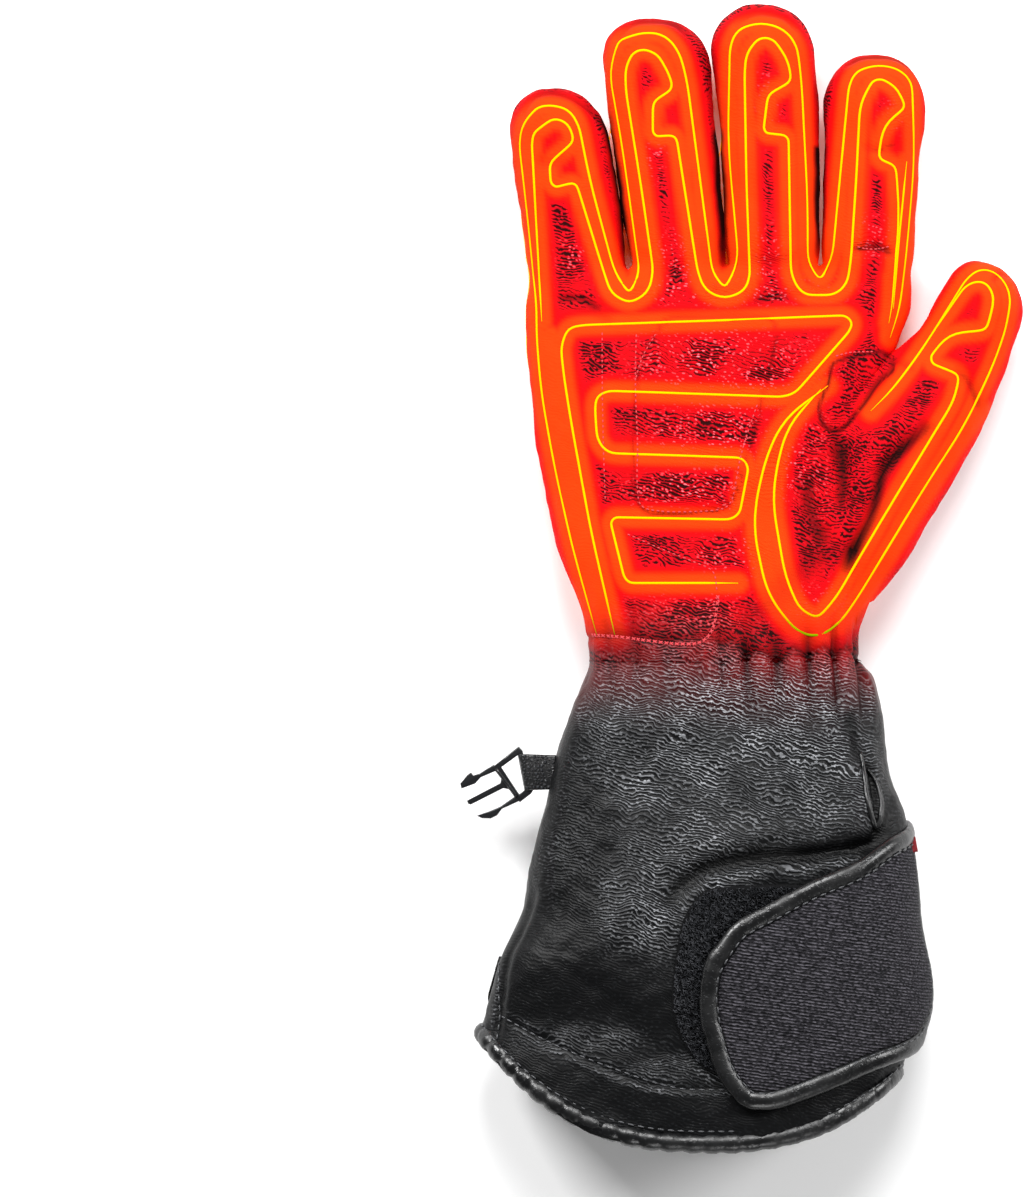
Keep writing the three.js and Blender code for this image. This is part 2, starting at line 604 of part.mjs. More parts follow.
function buckleWebbing() {
  const inner = CLIP_THICK + 2 * SEAM_GAP;
  const outer = inner + 2 * WEBBING_THICK;
  const stadium = (height, from, to) => {
    const path = new THREE.Shape();
    path.moveTo(to, -height / 2);
    path.lineTo(to, height / 2);
    path.absarc(from, 0, height / 2, Math.PI / 2, 1.5 * Math.PI);
    return path;
  };
  const loop = stadium(outer, -WEBBING_REACH + outer / 2, 2 * WALL);
  loop.holes.push(stadium(inner, -WEBBING_REACH + outer / 2, -WEBBING_THICK));
  const made = new THREE.ExtrudeGeometry(loop, { depth: WEBBING_WIDTH, bevelEnabled: false, curveSegments: 5 });
  return made.translate(0, 0, -WEBBING_WIDTH / 2).rotateX(Math.PI / 2);
}

// The male half of a side-release clip, in plan: a slotted frame and three prongs.
function clip() {
  const width = WEBBING_WIDTH + 2 * CLIP_BAR + 2.8;
  const frame = new THREE.Shape();
  frame.moveTo(0, -width / 2);
  frame.lineTo(0, width / 2);
  frame.lineTo(-CLIP_SLOT - 2 * CLIP_BAR, width / 2 - 0.8);
  frame.lineTo(-CLIP_SLOT - 2 * CLIP_BAR, -width / 2 + 0.8);
  const slot = new THREE.Path();
  slot.moveTo(-CLIP_BAR, -width / 2 + CLIP_BAR);
  slot.lineTo(-CLIP_BAR - CLIP_SLOT, -width / 2 + CLIP_BAR + 0.6);
  slot.lineTo(-CLIP_BAR - CLIP_SLOT, width / 2 - CLIP_BAR - 0.6);
  slot.lineTo(-CLIP_BAR, width / 2 - CLIP_BAR);
  frame.holes.push(slot);
  const start = -CLIP_SLOT - 2 * CLIP_BAR;
  let made = solid(plate(frame, -CLIP_THICK / 2, CLIP_THICK / 2));
  for (const side of [-1, 1]) {
    const edge = width / 2 - 0.8;
    const prong = new THREE.Shape();
    prong.moveTo(start + 0.5, side * (edge - 1.5));
    prong.lineTo(start + 0.5, side * edge);
    prong.lineTo(start - PRONG_LENGTH * 0.45, side * edge);
    prong.lineTo(start - PRONG_LENGTH * 0.52, side * (edge + 1.3));
    prong.quadraticCurveTo(start - PRONG_LENGTH * 0.85, side * (edge + 1.2), start - PRONG_LENGTH, side * (edge - 1.6));
    prong.quadraticCurveTo(start - PRONG_LENGTH * 0.8, side * (edge - 2), start - PRONG_LENGTH * 0.5, side * (edge - 1.5));
    made = made.add(solid(plate(prong, -CLIP_THICK / 2.6, CLIP_THICK / 2.6)));
  }
  const middle = new THREE.Shape();
  middle.moveTo(start + 0.5, -0.9);
  middle.lineTo(start + 0.5, 0.9);
  middle.lineTo(start - PRONG_LENGTH * 0.9, 0.7);
  middle.lineTo(start - PRONG_LENGTH * 0.9, -0.7);
  return geometryOf(made.add(solid(plate(middle, -CLIP_THICK / 3, CLIP_THICK / 3))));
}

// Control: a bezel whose neck passes through the leather, with a pocket for its key.
function bezel() {
  const neckTop = underCuff + WALL + SEAM_GAP;
  const flangeTop = Math.min(BEZEL_LIFT + BEZEL_FLANGE, underCuff - SEAM_GAP);
  const shape = roundedSquare(BEZEL_SIZE, 4);
  const flange = new THREE.ExtrudeGeometry(shape, {
    depth: flangeTop - BEZEL_LIFT - 1, bevelEnabled: true, bevelThickness: 1, bevelSize: 1.6,
    bevelOffset: -1.6, bevelSegments: 1, curveSegments: 3,
  }).translate(0, 0, BEZEL_LIFT + 1);
  const flat = solid(plate(shape, BEZEL_LIFT + 1.5, flangeTop));
  const ground = solid(plate(roundedSquare(3 * BEZEL_SIZE, 4), -WALL, flangeTop));
  const neck = solid(plate(roundedSquare(BEZEL_NECK, 3), flangeTop - 1, neckTop));
  const pocketDepth = BUTTON_THICK + BUTTON_RECESS + BUTTON_TRAVEL + SEAM_GAP;
  const pocket = solid(plate(roundedSquare(BUTTON_SIZE + 2 * SEAM_GAP, 3), -1, BEZEL_LIFT + pocketDepth));
  const body = solid(flange).intersect(ground).add(flat).add(neck).subtract(pocket);
  return placedControl(geometryOf(body));
}

function button() {
  const face = BEZEL_LIFT + BUTTON_RECESS;
  return placedControl(plate(roundedSquare(BUTTON_SIZE, 3 - SEAM_GAP), face, face + BUTTON_THICK));
}

// The pull lies flat under the hem, from the pocket's edge towards the little finger.
const PULL_ROOT = onCuff([0.44, 0.9]);
const PULL_HEIGHT = SEAM_GAP / 2 + TAB_THICK / 2;

function pullCord(radius) {
  const half = TAB_WIDTH / 4;
  const curve = new THREE.CatmullRomCurve3([
    new THREE.Vector3(PULL_LOOP * 0.4, -half * 0.6, TAB_THICK * 0.5),
    new THREE.Vector3(0, -half, 0),
    new THREE.Vector3(-PULL_LOOP * 0.6, -half, 0),
    new THREE.Vector3(-PULL_LOOP, 0, 0),
    new THREE.Vector3(-PULL_LOOP * 0.6, half, 0),
    new THREE.Vector3(0, half, 0),
    new THREE.Vector3(PULL_LOOP * 0.4, half * 0.6, TAB_THICK * 0.5),
  ]);
  const round = new THREE.Shape().absarc(0, 0, radius, 0, 2 * Math.PI);
  return new THREE.ExtrudeGeometry(round, { steps: 14, curveSegments: 3, extrudePath: curve });
}

// The tab is leather folded over the cord's end, so a channel for the cord runs inside it.
function pullTab() {
  const shape = new THREE.Shape();
  const [long, half] = [TAB_LENGTH, TAB_WIDTH / 2];
  shape.moveTo(0, -half * 0.8);
  shape.lineTo(0, half * 0.8);
  shape.quadraticCurveTo(-long * 0.5, half * 1.25, -long + half, half);
  shape.quadraticCurveTo(-long, 0, -long + half, -half);
  shape.quadraticCurveTo(-long * 0.5, -half * 1.25, 0, -half * 0.8);
  const folded = plate(shape, -TAB_THICK / 2, TAB_THICK / 2).translate(-PULL_LOOP / 2, 0, 0);
  return geometryOf(solid(folded).subtract(solid(pullCord(PULL_WIRE / 2 + SEAM_GAP))));
}

const LEATHER = { color: 0x17181b, roughness: 0.52, metalness: 0 };
const FINISHES = {
  hand_leather: new THREE.MeshStandardMaterial({ color: 0xb01208, roughness: 0.5, metalness: 0 }),
  cuff_leather: new THREE.MeshStandardMaterial(LEATHER),
  binding_leather: new THREE.MeshStandardMaterial({ color: 0x22252a, roughness: 0.35, metalness: 0 }),
  strap_fabric: new THREE.MeshStandardMaterial({ color: 0x38353c, roughness: 0.85, metalness: 0 }),
  loop_tape: new THREE.MeshStandardMaterial({ color: 0x101113, roughness: 0.95, metalness: 0 }),
  webbing: new THREE.MeshStandardMaterial({ color: 0x1c1d21, roughness: 0.8, metalness: 0 }),
  clip_plastic: new THREE.MeshStandardMaterial({ color: 0x26282c, roughness: 0.35, metalness: 0 }),
  control_rubber: new THREE.MeshStandardMaterial({ color: 0x141416, roughness: 0.6, metalness: 0 }),
  red_tab: new THREE.MeshStandardMaterial({ color: 0x8c1018, roughness: 0.7, metalness: 0 }),
};

function piece(name, made, finish) {
  const geometry = geometryOf(solid(made));
  geometry.computeVertexNormals();
  const mesh = new THREE.Mesh(geometry, FINISHES[finish]);
  mesh.name = name;
  return mesh;
}

const glove = new THREE.Group();

const handWall = HAND_OUTER.subtract(handForm(-WALL, 1));
glove.add(piece("hand_shell", geometryOf(handWall), "hand_leather"));
FINGERS.forEach((finger, index) => {
  glove.add(piece(finger.name, fingerShell(index), "hand_leather"));
});
glove.add(piece("thumb", thumbShell(), "hand_leather"));
glove.add(piece("elastic_wrist", elasticWrist(), "hand_leather"));
glove.add(piece("gauntlet", gauntlet(), "cuff_leather"));
glove.add(piece("hem_binding", hemBinding(), "binding_leather"));

const patchTop = SEAM_GAP + PATCH_THICK;
glove.add(piece("palm_patch", geometryOf(handLayer(PALM_PATCH, SEAM_GAP, patchTop)), "hand_leather"));
glove.add(piece("thumb_tab", geometryOf(handLayer(THUMB_TAB, SEAM_GAP, patchTop)), "hand_leather"));

// Loop tape on the palm side and pocket patch on the back of the gauntlet
const cuffSkin = cuffForm(patchTop).subtract(cuffForm(SEAM_GAP, undefined, 2));
const tapeCut = solid(prism(smoothOutline(LOOP_TAPE.map(onCuff)))).translate([0, 0, CUFF_DEPTH / 2]);
glove.add(piece("loop_tape", geometryOf(cuffSkin.intersect(tapeCut)), "loop_tape"));
const patchCut = solid(prism(smoothOutline(POCKET_PATCH.map(onCuff)))).translate([0, 0, CUFF_DEPTH / 2 - 4 * CUFF_DEPTH]);
glove.add(piece("pocket_patch", geometryOf(cuffSkin.intersect(patchCut)), "cuff_leather"));

// Closure strap: a ribbed panel in a bound leather edge
const strapTop = STRAP_LIFT + STRAP_THICK;
const edgeRing = { outer: strapOutline(0), holes: [strapOutline(STRAP_EDGE)] };
const panelPlan = { outer: strapOutline(STRAP_EDGE + SEAM_GAP) };
glove.add(piece("strap_binding", strapLayer(edgeRing, STRAP_LIFT, strapTop + 0.6), "binding_leather"));
glove.add(piece("closure_strap", strapLayer(panelPlan, STRAP_LIFT + 0.4, strapTop), "strap_fabric"));

// Webbing and clip on the little finger's side of the gauntlet. The webbing's end follows the leather.
const CLIP_STATION = -0.305;
const clipSide = new THREE.Object3D();
clipSide.position.copy(bodyPoint(CLIP_STATION, Math.PI, SEAM_GAP));
clipSide.rotation.set(0, -radians(CLIP_DROOP), radians(WEBBING_TURN));
clipSide.updateMatrix();
const webbing = solid(buckleWebbing().applyMatrix4(clipSide.matrix)).subtract(cuffForm(SEAM_GAP));
glove.add(piece("buckle_webbing", geometryOf(webbing), "webbing"));
const clipTurn = new THREE.Matrix4().makeRotationZ(radians(CLIP_TURN));
clipTurn.setPosition(-WEBBING_REACH + WEBBING_THICK + SEAM_GAP + CLIP_BAR + 2.7, 0, 0);
glove.add(piece("buckle_clip", clip().applyMatrix4(clipTurn).applyMatrix4(clipSide.matrix), "clip_plastic"));

glove.add(piece("control_bezel", bezel(), "control_rubber"));
glove.add(piece("heat_button", button(), "control_rubber"));

const pull = new THREE.Group();
pull.position.set(PULL_ROOT[0], PULL_ROOT[1], PULL_HEIGHT);
pull.add(piece("zip_pull", pullCord(PULL_WIRE / 2), "webbing"));
pull.add(piece("pull_tab", pullTab(), "binding_leather"));
glove.add(pull);

export default glove;
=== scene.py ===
# %% [markdown]
# # A heated leather gauntlet glove
# The glove is a right-hand one that lies on its back, palm up. It is a padded leather hand with five
# digits, an elasticated wrist and a wide stiff cuff. This lesson dresses the CAD frame: every soft
# piece is rebuilt here with its folds, seams and grain, and it stays where the CAD solid is.

import bmesh
import bpy
import numpy as np
from mathutils import Matrix, Vector
from mathutils.bvhtree import BVHTree
from mathutils.kdtree import KDTree


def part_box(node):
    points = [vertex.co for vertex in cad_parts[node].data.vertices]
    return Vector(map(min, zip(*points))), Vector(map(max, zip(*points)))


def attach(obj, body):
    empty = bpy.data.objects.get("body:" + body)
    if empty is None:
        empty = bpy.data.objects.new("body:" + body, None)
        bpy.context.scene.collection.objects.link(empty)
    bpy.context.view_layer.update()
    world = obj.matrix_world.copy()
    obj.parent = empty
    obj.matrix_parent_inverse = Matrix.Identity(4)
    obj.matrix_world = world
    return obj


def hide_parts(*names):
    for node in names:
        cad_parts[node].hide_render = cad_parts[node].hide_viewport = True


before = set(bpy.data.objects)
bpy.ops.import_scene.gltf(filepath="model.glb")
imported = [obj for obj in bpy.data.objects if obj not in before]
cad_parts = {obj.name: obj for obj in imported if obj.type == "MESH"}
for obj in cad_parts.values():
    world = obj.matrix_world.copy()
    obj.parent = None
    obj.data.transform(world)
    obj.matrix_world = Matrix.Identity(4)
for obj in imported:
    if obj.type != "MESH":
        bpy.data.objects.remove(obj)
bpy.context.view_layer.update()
MM = 0.001

# %% [markdown]
# ## Camera
# The photograph is a catalogue cut-out, taken from straight above with a long lens. One pixel of it
# is 0.31 mm on the glove. A camera four metres up with a very long lens gives the same flat look, and
# its centre is the middle of the photograph, so the glove lands on its own place in the frame.

# %% Camera over the middle of the photograph
PIXEL = 0.31
PHOTO = (1024, 1197)
CAMERA_HEIGHT, LEVEL = 4.0, 0.02
ORIGIN_PIXEL = (720, 470)
centre = ((PHOTO[0] / 2 - ORIGIN_PIXEL[0]) * PIXEL * MM, (ORIGIN_PIXEL[1] - PHOTO[1] / 2) * PIXEL * MM)
lens = bpy.data.cameras.new("photo_camera")
lens.sensor_fit = "HORIZONTAL"
lens.sensor_width = 36
lens.lens = lens.sensor_width * CAMERA_HEIGHT / (PHOTO[0] * PIXEL * MM)
lens.clip_end = 40
camera = bpy.data.objects.new("photo_camera", lens)
camera.location = (*centre, CAMERA_HEIGHT + LEVEL)
bpy.context.collection.objects.link(camera)
bpy.context.scene.camera = camera
print("lens", round(lens.lens, 1), "mm")

# %% [markdown]
# ## Named sizes and the body's tables
# The sizes below are the ones that the CAD was made from, in millimetres. The glove's body is read
# from one short table: at each station from the hem (-1) over the wrist (0) to the knuckles (1) it
# says how far the left edge, the right edge and the top have gone from the wrist's own to the hem's
# or the knuckles' own. A smooth curve through the rows gives any station in between.

# %% Sizes and the section table
WALL = 3.0
HAND_LENGTH = 116.0
KNUCKLE_DEPTH = 29.0
WRIST_Y = -0.51 * HAND_LENGTH
KNUCKLE_Y = WRIST_Y + HAND_LENGTH
WRIST_WIDTH, WRIST_DEPTH, WRIST_SHIFT, WRIST_RISE = 85.0, 38.0, 1.7, 4.0
CUFF_LENGTH, CUFF_WIDTH, CUFF_DEPTH, CUFF_SHIFT = 150.0, 130.0, 47.0, -10.2
HEM_ARC, HEM_ARC_CENTRE, HEM_ARC_POWER = 27.0, 0.086, 2.6
BODY = {
    "at": [
        -1, -0.93, -0.8, -0.65, -0.5, -0.38, -0.27, -0.15, -0.05,
        0, 0.1, 0.2, 0.3, 0.4, 0.6, 0.75, 0.86, 0.94, 1,
    ],
    "left": [
        1, 0.91, 0.79, 0.61, 0.52, 0.38, 0.31, 0.2, 0.06,
        0, 0.05, 0.25, 0.5, 0.67, 0.86, 0.98, 1.03, 1.03, 1,
    ],
    "right": [
        1, 1.26, 1.5, 1.55, 1.44, 1.22, 0.86, 0.6, 0.28,
        0, 0, 0.02, 0.06, 0.11, 0.2, 0.42, 0.72, 0.95, 1,
    ],
    "top": [
        1, 1, 1.02, 1.04, 0.98, 0.85, 0.66, 0.38, 0.1,
        0, 0.05, 0.15, 0.25, 0.34, 0.48, 0.64, 0.78, 0.9, 1,
    ],
    "rise": [
        0.55, 1.1, 1.25, 1.25, 1.25, 1.25, 1.25, 1.15, 1.03,
        1, 0.85, 0.5, 0.15, 0, 0, 0, 0, 0, 0,
    ],
}
FINGERS = [
    dict(name="little", length=61.8, width=31.6, root=1.02, depth=26, lean=-0.3, curl=5),
    dict(name="ring", length=83.2, width=33.4, root=0.89, depth=27.5, lean=-1.2, curl=5),
    dict(name="middle", length=87.6, width=31.9, root=0.89, depth=28, lean=-1.8, curl=4),
    dict(name="index", length=72.2, width=31.3, root=0.9, depth=27, lean=-1.1, curl=4),
]
FAN_HEIGHT, FAN_SHIFT, FINGER_GAP, FINGER_TAPER, DOME_SHARE = 44.0, -1.0, 0.7, 0.07, 0.53
THUMB_LENGTH, THUMB_WIDTH, THUMB_DEPTH, THUMB_ANGLE = 115.5, 41.0, 33.0, np.radians(26)
THUMB_ROOT, THUMB_HEIGHT = (33.0, -39.5), 19.0
THUMB = {
    "at": [0, 0.15, 0.34, 0.54, 0.66, 0.76, 0.88, 1],
    "bow": [0, -0.05, -0.04, 0.02, 0.06, 0.11, 0.1, 0.05],
    "width": [0.68, 0.92, 1, 0.93, 0.85, 0.73, 0.65, 0.62],
    "depth": [0.86, 0.98, 1, 0.94, 0.88, 0.82, 0.78, 0.74],
}
INDEX = 3
BODY_SQUARE, FINGER_SQUARE, THUMB_SQUARE = 2.5, 2.3, 2.2
THUMB_TIP = DOME_SHARE * THUMB_WIDTH * 0.64
ROOT_WIDTHS = [finger["width"] * finger["root"] for finger in FINGERS]
HAND_WIDTH = sum(ROOT_WIDTHS)
BROAD_WIDTH = sum(finger["width"] for finger in FINGERS)
print("hand", round(HAND_WIDTH, 1), "mm across the knuckles")


def read(table, column, at):
    """One column of a table at many stations, on a smooth curve through its rows."""
    rows = np.array(table["at"], float)
    values = np.array(table[column], float)
    slopes = np.gradient(values, rows)
    slopes[1:-1] = (values[2:] - values[:-2]) / (rows[2:] - rows[:-2])
    at = np.asarray(at, float)
    row = np.clip(np.searchsorted(rows, at) - 1, 0, len(rows) - 2)
    step = rows[row + 1] - rows[row]
    t = np.clip((at - rows[row]) / step, -0.5, 1.5)
    return (
        (2 * t**3 - 3 * t**2 + 1) * values[row]
        + (t**3 - 2 * t**2 + t) * slopes[row] * step
        + (3 * t**2 - 2 * t**3) * values[row + 1]
        + (t**3 - t**2) * slopes[row + 1] * step
    )


def rounded(angle, squareness):
    """Unit points of a rounded section: angle 0 is the thumb side, a quarter turn the palm side."""
    c, s = np.cos(angle), np.sin(angle)
    power = 2 / squareness
    return np.sign(c) * np.abs(c) ** power, np.sign(s) * np.abs(s) ** power


# %% [markdown]
# ## Skins
# Three functions give a point of the glove's skin: one for the body, one for a finger and one for the
# thumb. Each takes arrays, so a whole grid of points is placed at once. The offset moves the skin in
# or out, which makes the lining and the layers that are sewn on top.


# %% Skin of the body, of a finger and of the thumb
def body_frame(at):
    """Left edge, right edge, underside and top of the body at its stations."""
    cuff = at < 0
    width = np.where(cuff, CUFF_WIDTH, HAND_WIDTH)
    shift = np.where(cuff, CUFF_SHIFT, 0.0)
    end_top = np.where(cuff, WRIST_RISE + CUFF_DEPTH, KNUCKLE_DEPTH)
    wrist_left, wrist_right = WRIST_SHIFT - WRIST_WIDTH / 2, WRIST_SHIFT + WRIST_WIDTH / 2
    left = wrist_left + (shift - width / 2 - wrist_left) * read(BODY, "left", at)
    right = wrist_right + (shift + width / 2 - wrist_right) * read(BODY, "right", at)
    under = np.maximum(0, WRIST_RISE * read(BODY, "rise", at))
    wrist_top = WRIST_RISE + WRIST_DEPTH
    return left, right, under, wrist_top + (end_top - wrist_top) * read(BODY, "top", at)


def body_skin(at, angle, out=0.0):
    """Points of the body in millimetres, moved out by an offset."""
    cuff = at < 0
    left, right, under, top = body_frame(at)
    middle = under + (top - under) * 0.47
    ex, ez = rounded(angle, BODY_SQUARE)
    x = (left + right) / 2 + ((right - left) / 2 + out) * ex
    reach = np.where(ez > 0, top - middle, middle - under + 3.0)
    z = np.maximum(np.maximum(0, under - out), middle + (reach + out) * ez)
    bow = HEM_ARC * np.abs(ex - HEM_ARC_CENTRE) ** HEM_ARC_POWER
    y = WRIST_Y + at * np.where(cuff, CUFF_LENGTH - bow, HAND_LENGTH)
    return np.stack([x, y, z], -1)


def finger_line(index, height):
    """Where the line between two fingers is, at heights above the knuckle line."""
    root = -HAND_WIDTH / 2 + sum(ROOT_WIDTHS[:index])
    broad = FAN_SHIFT - BROAD_WIDTH / 2 + sum(f["width"] for f in FINGERS[:index])
    return root + (broad - root) * height / FAN_HEIGHT


def dome(share):
    """Width that is left at a share of a fingertip's length."""
    return (1 - np.clip(share, 0, 1) ** 2.3) ** (1 / 2.3)


def finger_skin(index, height, angle, out=0.0):
    finger = FINGERS[index]
    left = finger_line(index, height) + FINGER_GAP / 2
    right = finger_line(index + 1, height) - FINGER_GAP / 2
    sunk = 0.0
    if index == INDEX:
        down = np.clip((6 - height) / 40, 0, 1)
        right = right - 3.6 * np.clip(down / 0.45, 0, 1) - 10.0 * np.clip((down - 0.5) / 0.5, 0, 1) ** 1.5
        sunk = np.clip((down - 0.4) / 0.6, 0, 1)
    beyond = np.maximum(0, (height - FAN_HEIGHT) / (finger["length"] - FAN_HEIGHT))
    tip = DOME_SHARE * finger["width"]
    reach = finger["length"] + min(out, 0)
    cap = dome((height - (reach - tip)) / tip)
    half = (right - left) / 2 * (1 - FINGER_TAPER * beyond) + out
    along = np.maximum(0, height / finger["length"])
    middle = finger["depth"] * 0.48 + finger["curl"] * along**2
    thick = finger["depth"] / 2 * (1 - 0.08 * along - 0.3 * sunk) + out
    ex, ez = rounded(angle, FINGER_SQUARE)
    x = (left + right) / 2 + finger["lean"] * beyond + half * cap * ex
    z = np.maximum(middle + thick * cap * ez, max(0, -out))
    return np.stack([x, KNUCKLE_Y + height + 0 * x, z], -1)


def thumb_skin(at, angle, out=0.0):
    ahead = np.array([np.sin(THUMB_ANGLE), np.cos(THUMB_ANGLE)])
    side = np.array([ahead[1], -ahead[0]])
    reach = THUMB_LENGTH + min(out, 0)
    along = at * THUMB_LENGTH
    cap = dome((along - (reach - THUMB_TIP)) / THUMB_TIP)
    half = THUMB_WIDTH / 2 * read(THUMB, "width", at) + out
    thick = THUMB_DEPTH / 2 * read(THUMB, "depth", at) + out
    ex, ez = rounded(angle, THUMB_SQUARE)
    across = THUMB_WIDTH * read(THUMB, "bow", at) + half * cap * ex
    x = THUMB_ROOT[0] + ahead[0] * along + side[0] * across
    y = THUMB_ROOT[1] + ahead[1] * along + side[1] * across
    z = np.maximum(THUMB_HEIGHT + thick * cap * ez, max(0, -out))
    return np.stack([x, y, z], -1)


# %% [markdown]
# ## Wrapping a grid
# A tube is a flat grid that is rolled up. Blender's own grid is made first, then each corner is moved
# to the skin. Its two long edges meet in a seam, which is merged, and its ends are filled.


# %% Roll a grid into a closed form
WELD = 2e-6


def new_piece(name, bm):
    """Leaves a finished mesh in the scene as a piece."""
    mesh = bpy.data.meshes.new(name)
    bm.to_mesh(mesh)
    bm.free()
    piece = bpy.data.objects.new(name, mesh)
    bpy.context.collection.objects.link(piece)
    return piece


def close_up(bm):
    """Welds the seam of a rolled grid and turns its faces outward."""
    bmesh.ops.remove_doubles(bm, verts=bm.verts[:], dist=WELD)
    bmesh.ops.recalc_face_normals(bm, faces=bm.faces[:])


def wrap(name, sides, rows, place, closed=True):
    """A closed form from a grid: place(u, v) turns shares around and along into points in mm."""
    bm = bmesh.new()
    bmesh.ops.create_grid(bm, x_segments=sides, y_segments=rows, size=1)
    flat = np.array([v.co for v in bm.verts])
    points = place((flat[:, 0] + 1) / 2, (flat[:, 1] + 1) / 2) * MM
    for vert, point in zip(bm.verts, points):
        vert.co = point
    bmesh.ops.remove_doubles(bm, verts=bm.verts[:], dist=WELD)
    if closed:
        bmesh.ops.holes_fill(bm, edges=[e for e in bm.edges if e.is_boundary], sides=0)
    bmesh.ops.recalc_face_normals(bm, faces=bm.faces[:])
    return new_piece(name, bm)


def turn(u):
    return u * 2 * np.pi


def fingertip_rows(v, start, reach, tip, share):
    """Even steps along the straight part, then even turns over the dome."""
    straight = start + (reach - tip - start) * np.clip(v / share, 0, 1)
    over = np.sin(np.clip((v - share) / (1 - share), 0, 1) * np.pi / 2) ** (2 / 2.3)
    return np.where(v < share, straight, reach - tip + tip * over)


def finger_form(index, sides, rows, out=0.0, start=-16.0):
    finger = FINGERS[index]
    tip, reach = DOME_SHARE * finger["width"], finger["length"] + min(out, 0)

    def place(u, v):
        return finger_skin(index, fingertip_rows(v, start, reach, tip, 0.72), turn(u), out)

    return wrap(finger["name"] + "_form", sides, rows, place)


def thumb_form(sides, rows, out=0.0):
    reach = THUMB_LENGTH + min(out, 0)

    def place(u, v):
        return thumb_skin(fingertip_rows(v, 0.0, reach, THUMB_TIP, 0.8) / THUMB_LENGTH, turn(u), out)

    return wrap("thumb_form", sides, rows, place)


def palm_form(sides, rows, out=0.0, start=-0.075):
    """The palm from below the wrist to the knuckles, closed by a soft edge between the fingers."""
    web = 5.0 + min(out, 0)

    def place(u, v):
        at = start + (1 - start) * np.clip(v / 0.94, 0, 1)
        over = np.clip((v - 0.94) / 0.06, 0, 1) * np.pi / 2
        points = body_skin(at, turn(u), out)
        shrink = np.where(over > 0, np.cos(over), 1)
        points[:, 0] *= 0.9 + 0.1 * shrink
        points[:, 1] += web * np.sin(over)
        middle, flatter = KNUCKLE_DEPTH / 2, np.where(over > 0, 0.25 + 0.75 * shrink, 1)
        points[:, 2] = middle + (points[:, 2] - middle) * flatter
        return points

    return wrap("palm_form", sides, rows, place)


def combine(base, others, operation="UNION"):
    """Joins closed forms, or cuts them away, and leaves one mesh. Cut faces keep material 1."""
    for other in others:
        step = base.modifiers.new("combine", "BOOLEAN")
        step.operation, step.object, step.solver = operation, other, "MANIFOLD"
    bpy.context.view_layer.update()
    made = bpy.data.meshes.new_from_object(base.evaluated_get(bpy.context.evaluated_depsgraph_get()))
    base.modifiers.clear()
    base.data = made
    for other in others:
        bpy.data.objects.remove(other)
    return base


FINE = 1.0
hand = palm_form(int(260 * FINE), int(130 * FINE), start=-0.004)
hand.name = "heated_hand"
DIGIT_START, INDEX_START = -16.0, -34.0
digits = [
    finger_form(i, int(80 * FINE), int(90 * FINE), start=INDEX_START if i == INDEX else DIGIT_START)
    for i in range(len(FINGERS))
]
combine(hand, digits + [thumb_form(int(96 * FINE), int(100 * FINE))])
print("hand before its folds:", len(hand.data.vertices), "corners")

# %% [markdown]
# ## Softening where the digits meet the palm
# A join of closed forms leaves a sharp line where a finger leaves the palm. On the real glove the
# leather flows over it. The corners near such a line are pulled towards their neighbours many times,
# most on the line and less further away, which leaves a soft hollow.


# %% Corners and normals of a piece, and soft joins
def unit(ways):
    """Ways of length one."""
    return ways / (np.linalg.norm(ways, axis=1)[:, None] + 1e-9)


def bell(far, wide):
    """1 in the middle, falling softly to 0 on both sides."""
    return np.exp(-((far / wide) ** 2))


def smooth(low, high, value):
    t = np.clip((value - low) / (high - low), 0, 1)
    return t * t * (3 - 2 * t)


def read_all(items, what, width, kind=float):
    """One value of every corner or edge of a mesh, as an array."""
    flat = np.empty(len(items) * width, dtype=kind)
    items.foreach_get(what, flat)
    return flat.reshape(-1, width)


def corners(piece):
    return read_all(piece.data.vertices, "co", 3) / MM


def normals(piece):
    return read_all(piece.data.vertices, "normal", 3)


def keep(piece, name, values):
    """Keeps a value at every corner, for the finishes to read."""
    layer = piece.data.attributes.new(name, "FLOAT", "POINT")
    layer.data.foreach_set("value", values.astype(np.float32))


def place_corners(piece, points):
    piece.data.vertices.foreach_set("co", (points * MM).ravel())
    piece.data.update()


def relax(points, edges, weight, rounds):
    """Pulls every corner towards the middle of its neighbours, by its own weight."""
    count = np.bincount(edges.ravel(), minlength=len(points))[:, None]
    for _ in range(rounds):
        total = np.zeros_like(points)
        for axis in range(3):
            total[:, axis] = np.bincount(edges[:, 0], points[edges[:, 1], axis], len(points))
            total[:, axis] += np.bincount(edges[:, 1], points[edges[:, 0], axis], len(points))
        points = points + weight[:, None] * 0.5 * (total / count - points)
    return points


def sharp_corners(piece, degrees):
    """Corners on edges where the surface turns by more than an angle."""
    bm = bmesh.new()
    bm.from_mesh(piece.data)
    limit = np.radians(degrees)
    found = {v.index for e in bm.edges if e.is_manifold and e.calc_face_angle(0) > limit for v in e.verts}
    bm.free()
    return np.array(sorted(found), dtype=np.int64)


def nearness(points, targets, reach):
    """1 at the targets, falling to 0 at the reach."""
    tree = KDTree(len(targets))
    for i, target in enumerate(targets):
        tree.insert(target, i)
    tree.balance()
    far = np.array([tree.find(point)[2] for point in points])
    return np.clip(1 - far / reach, 0, 1)


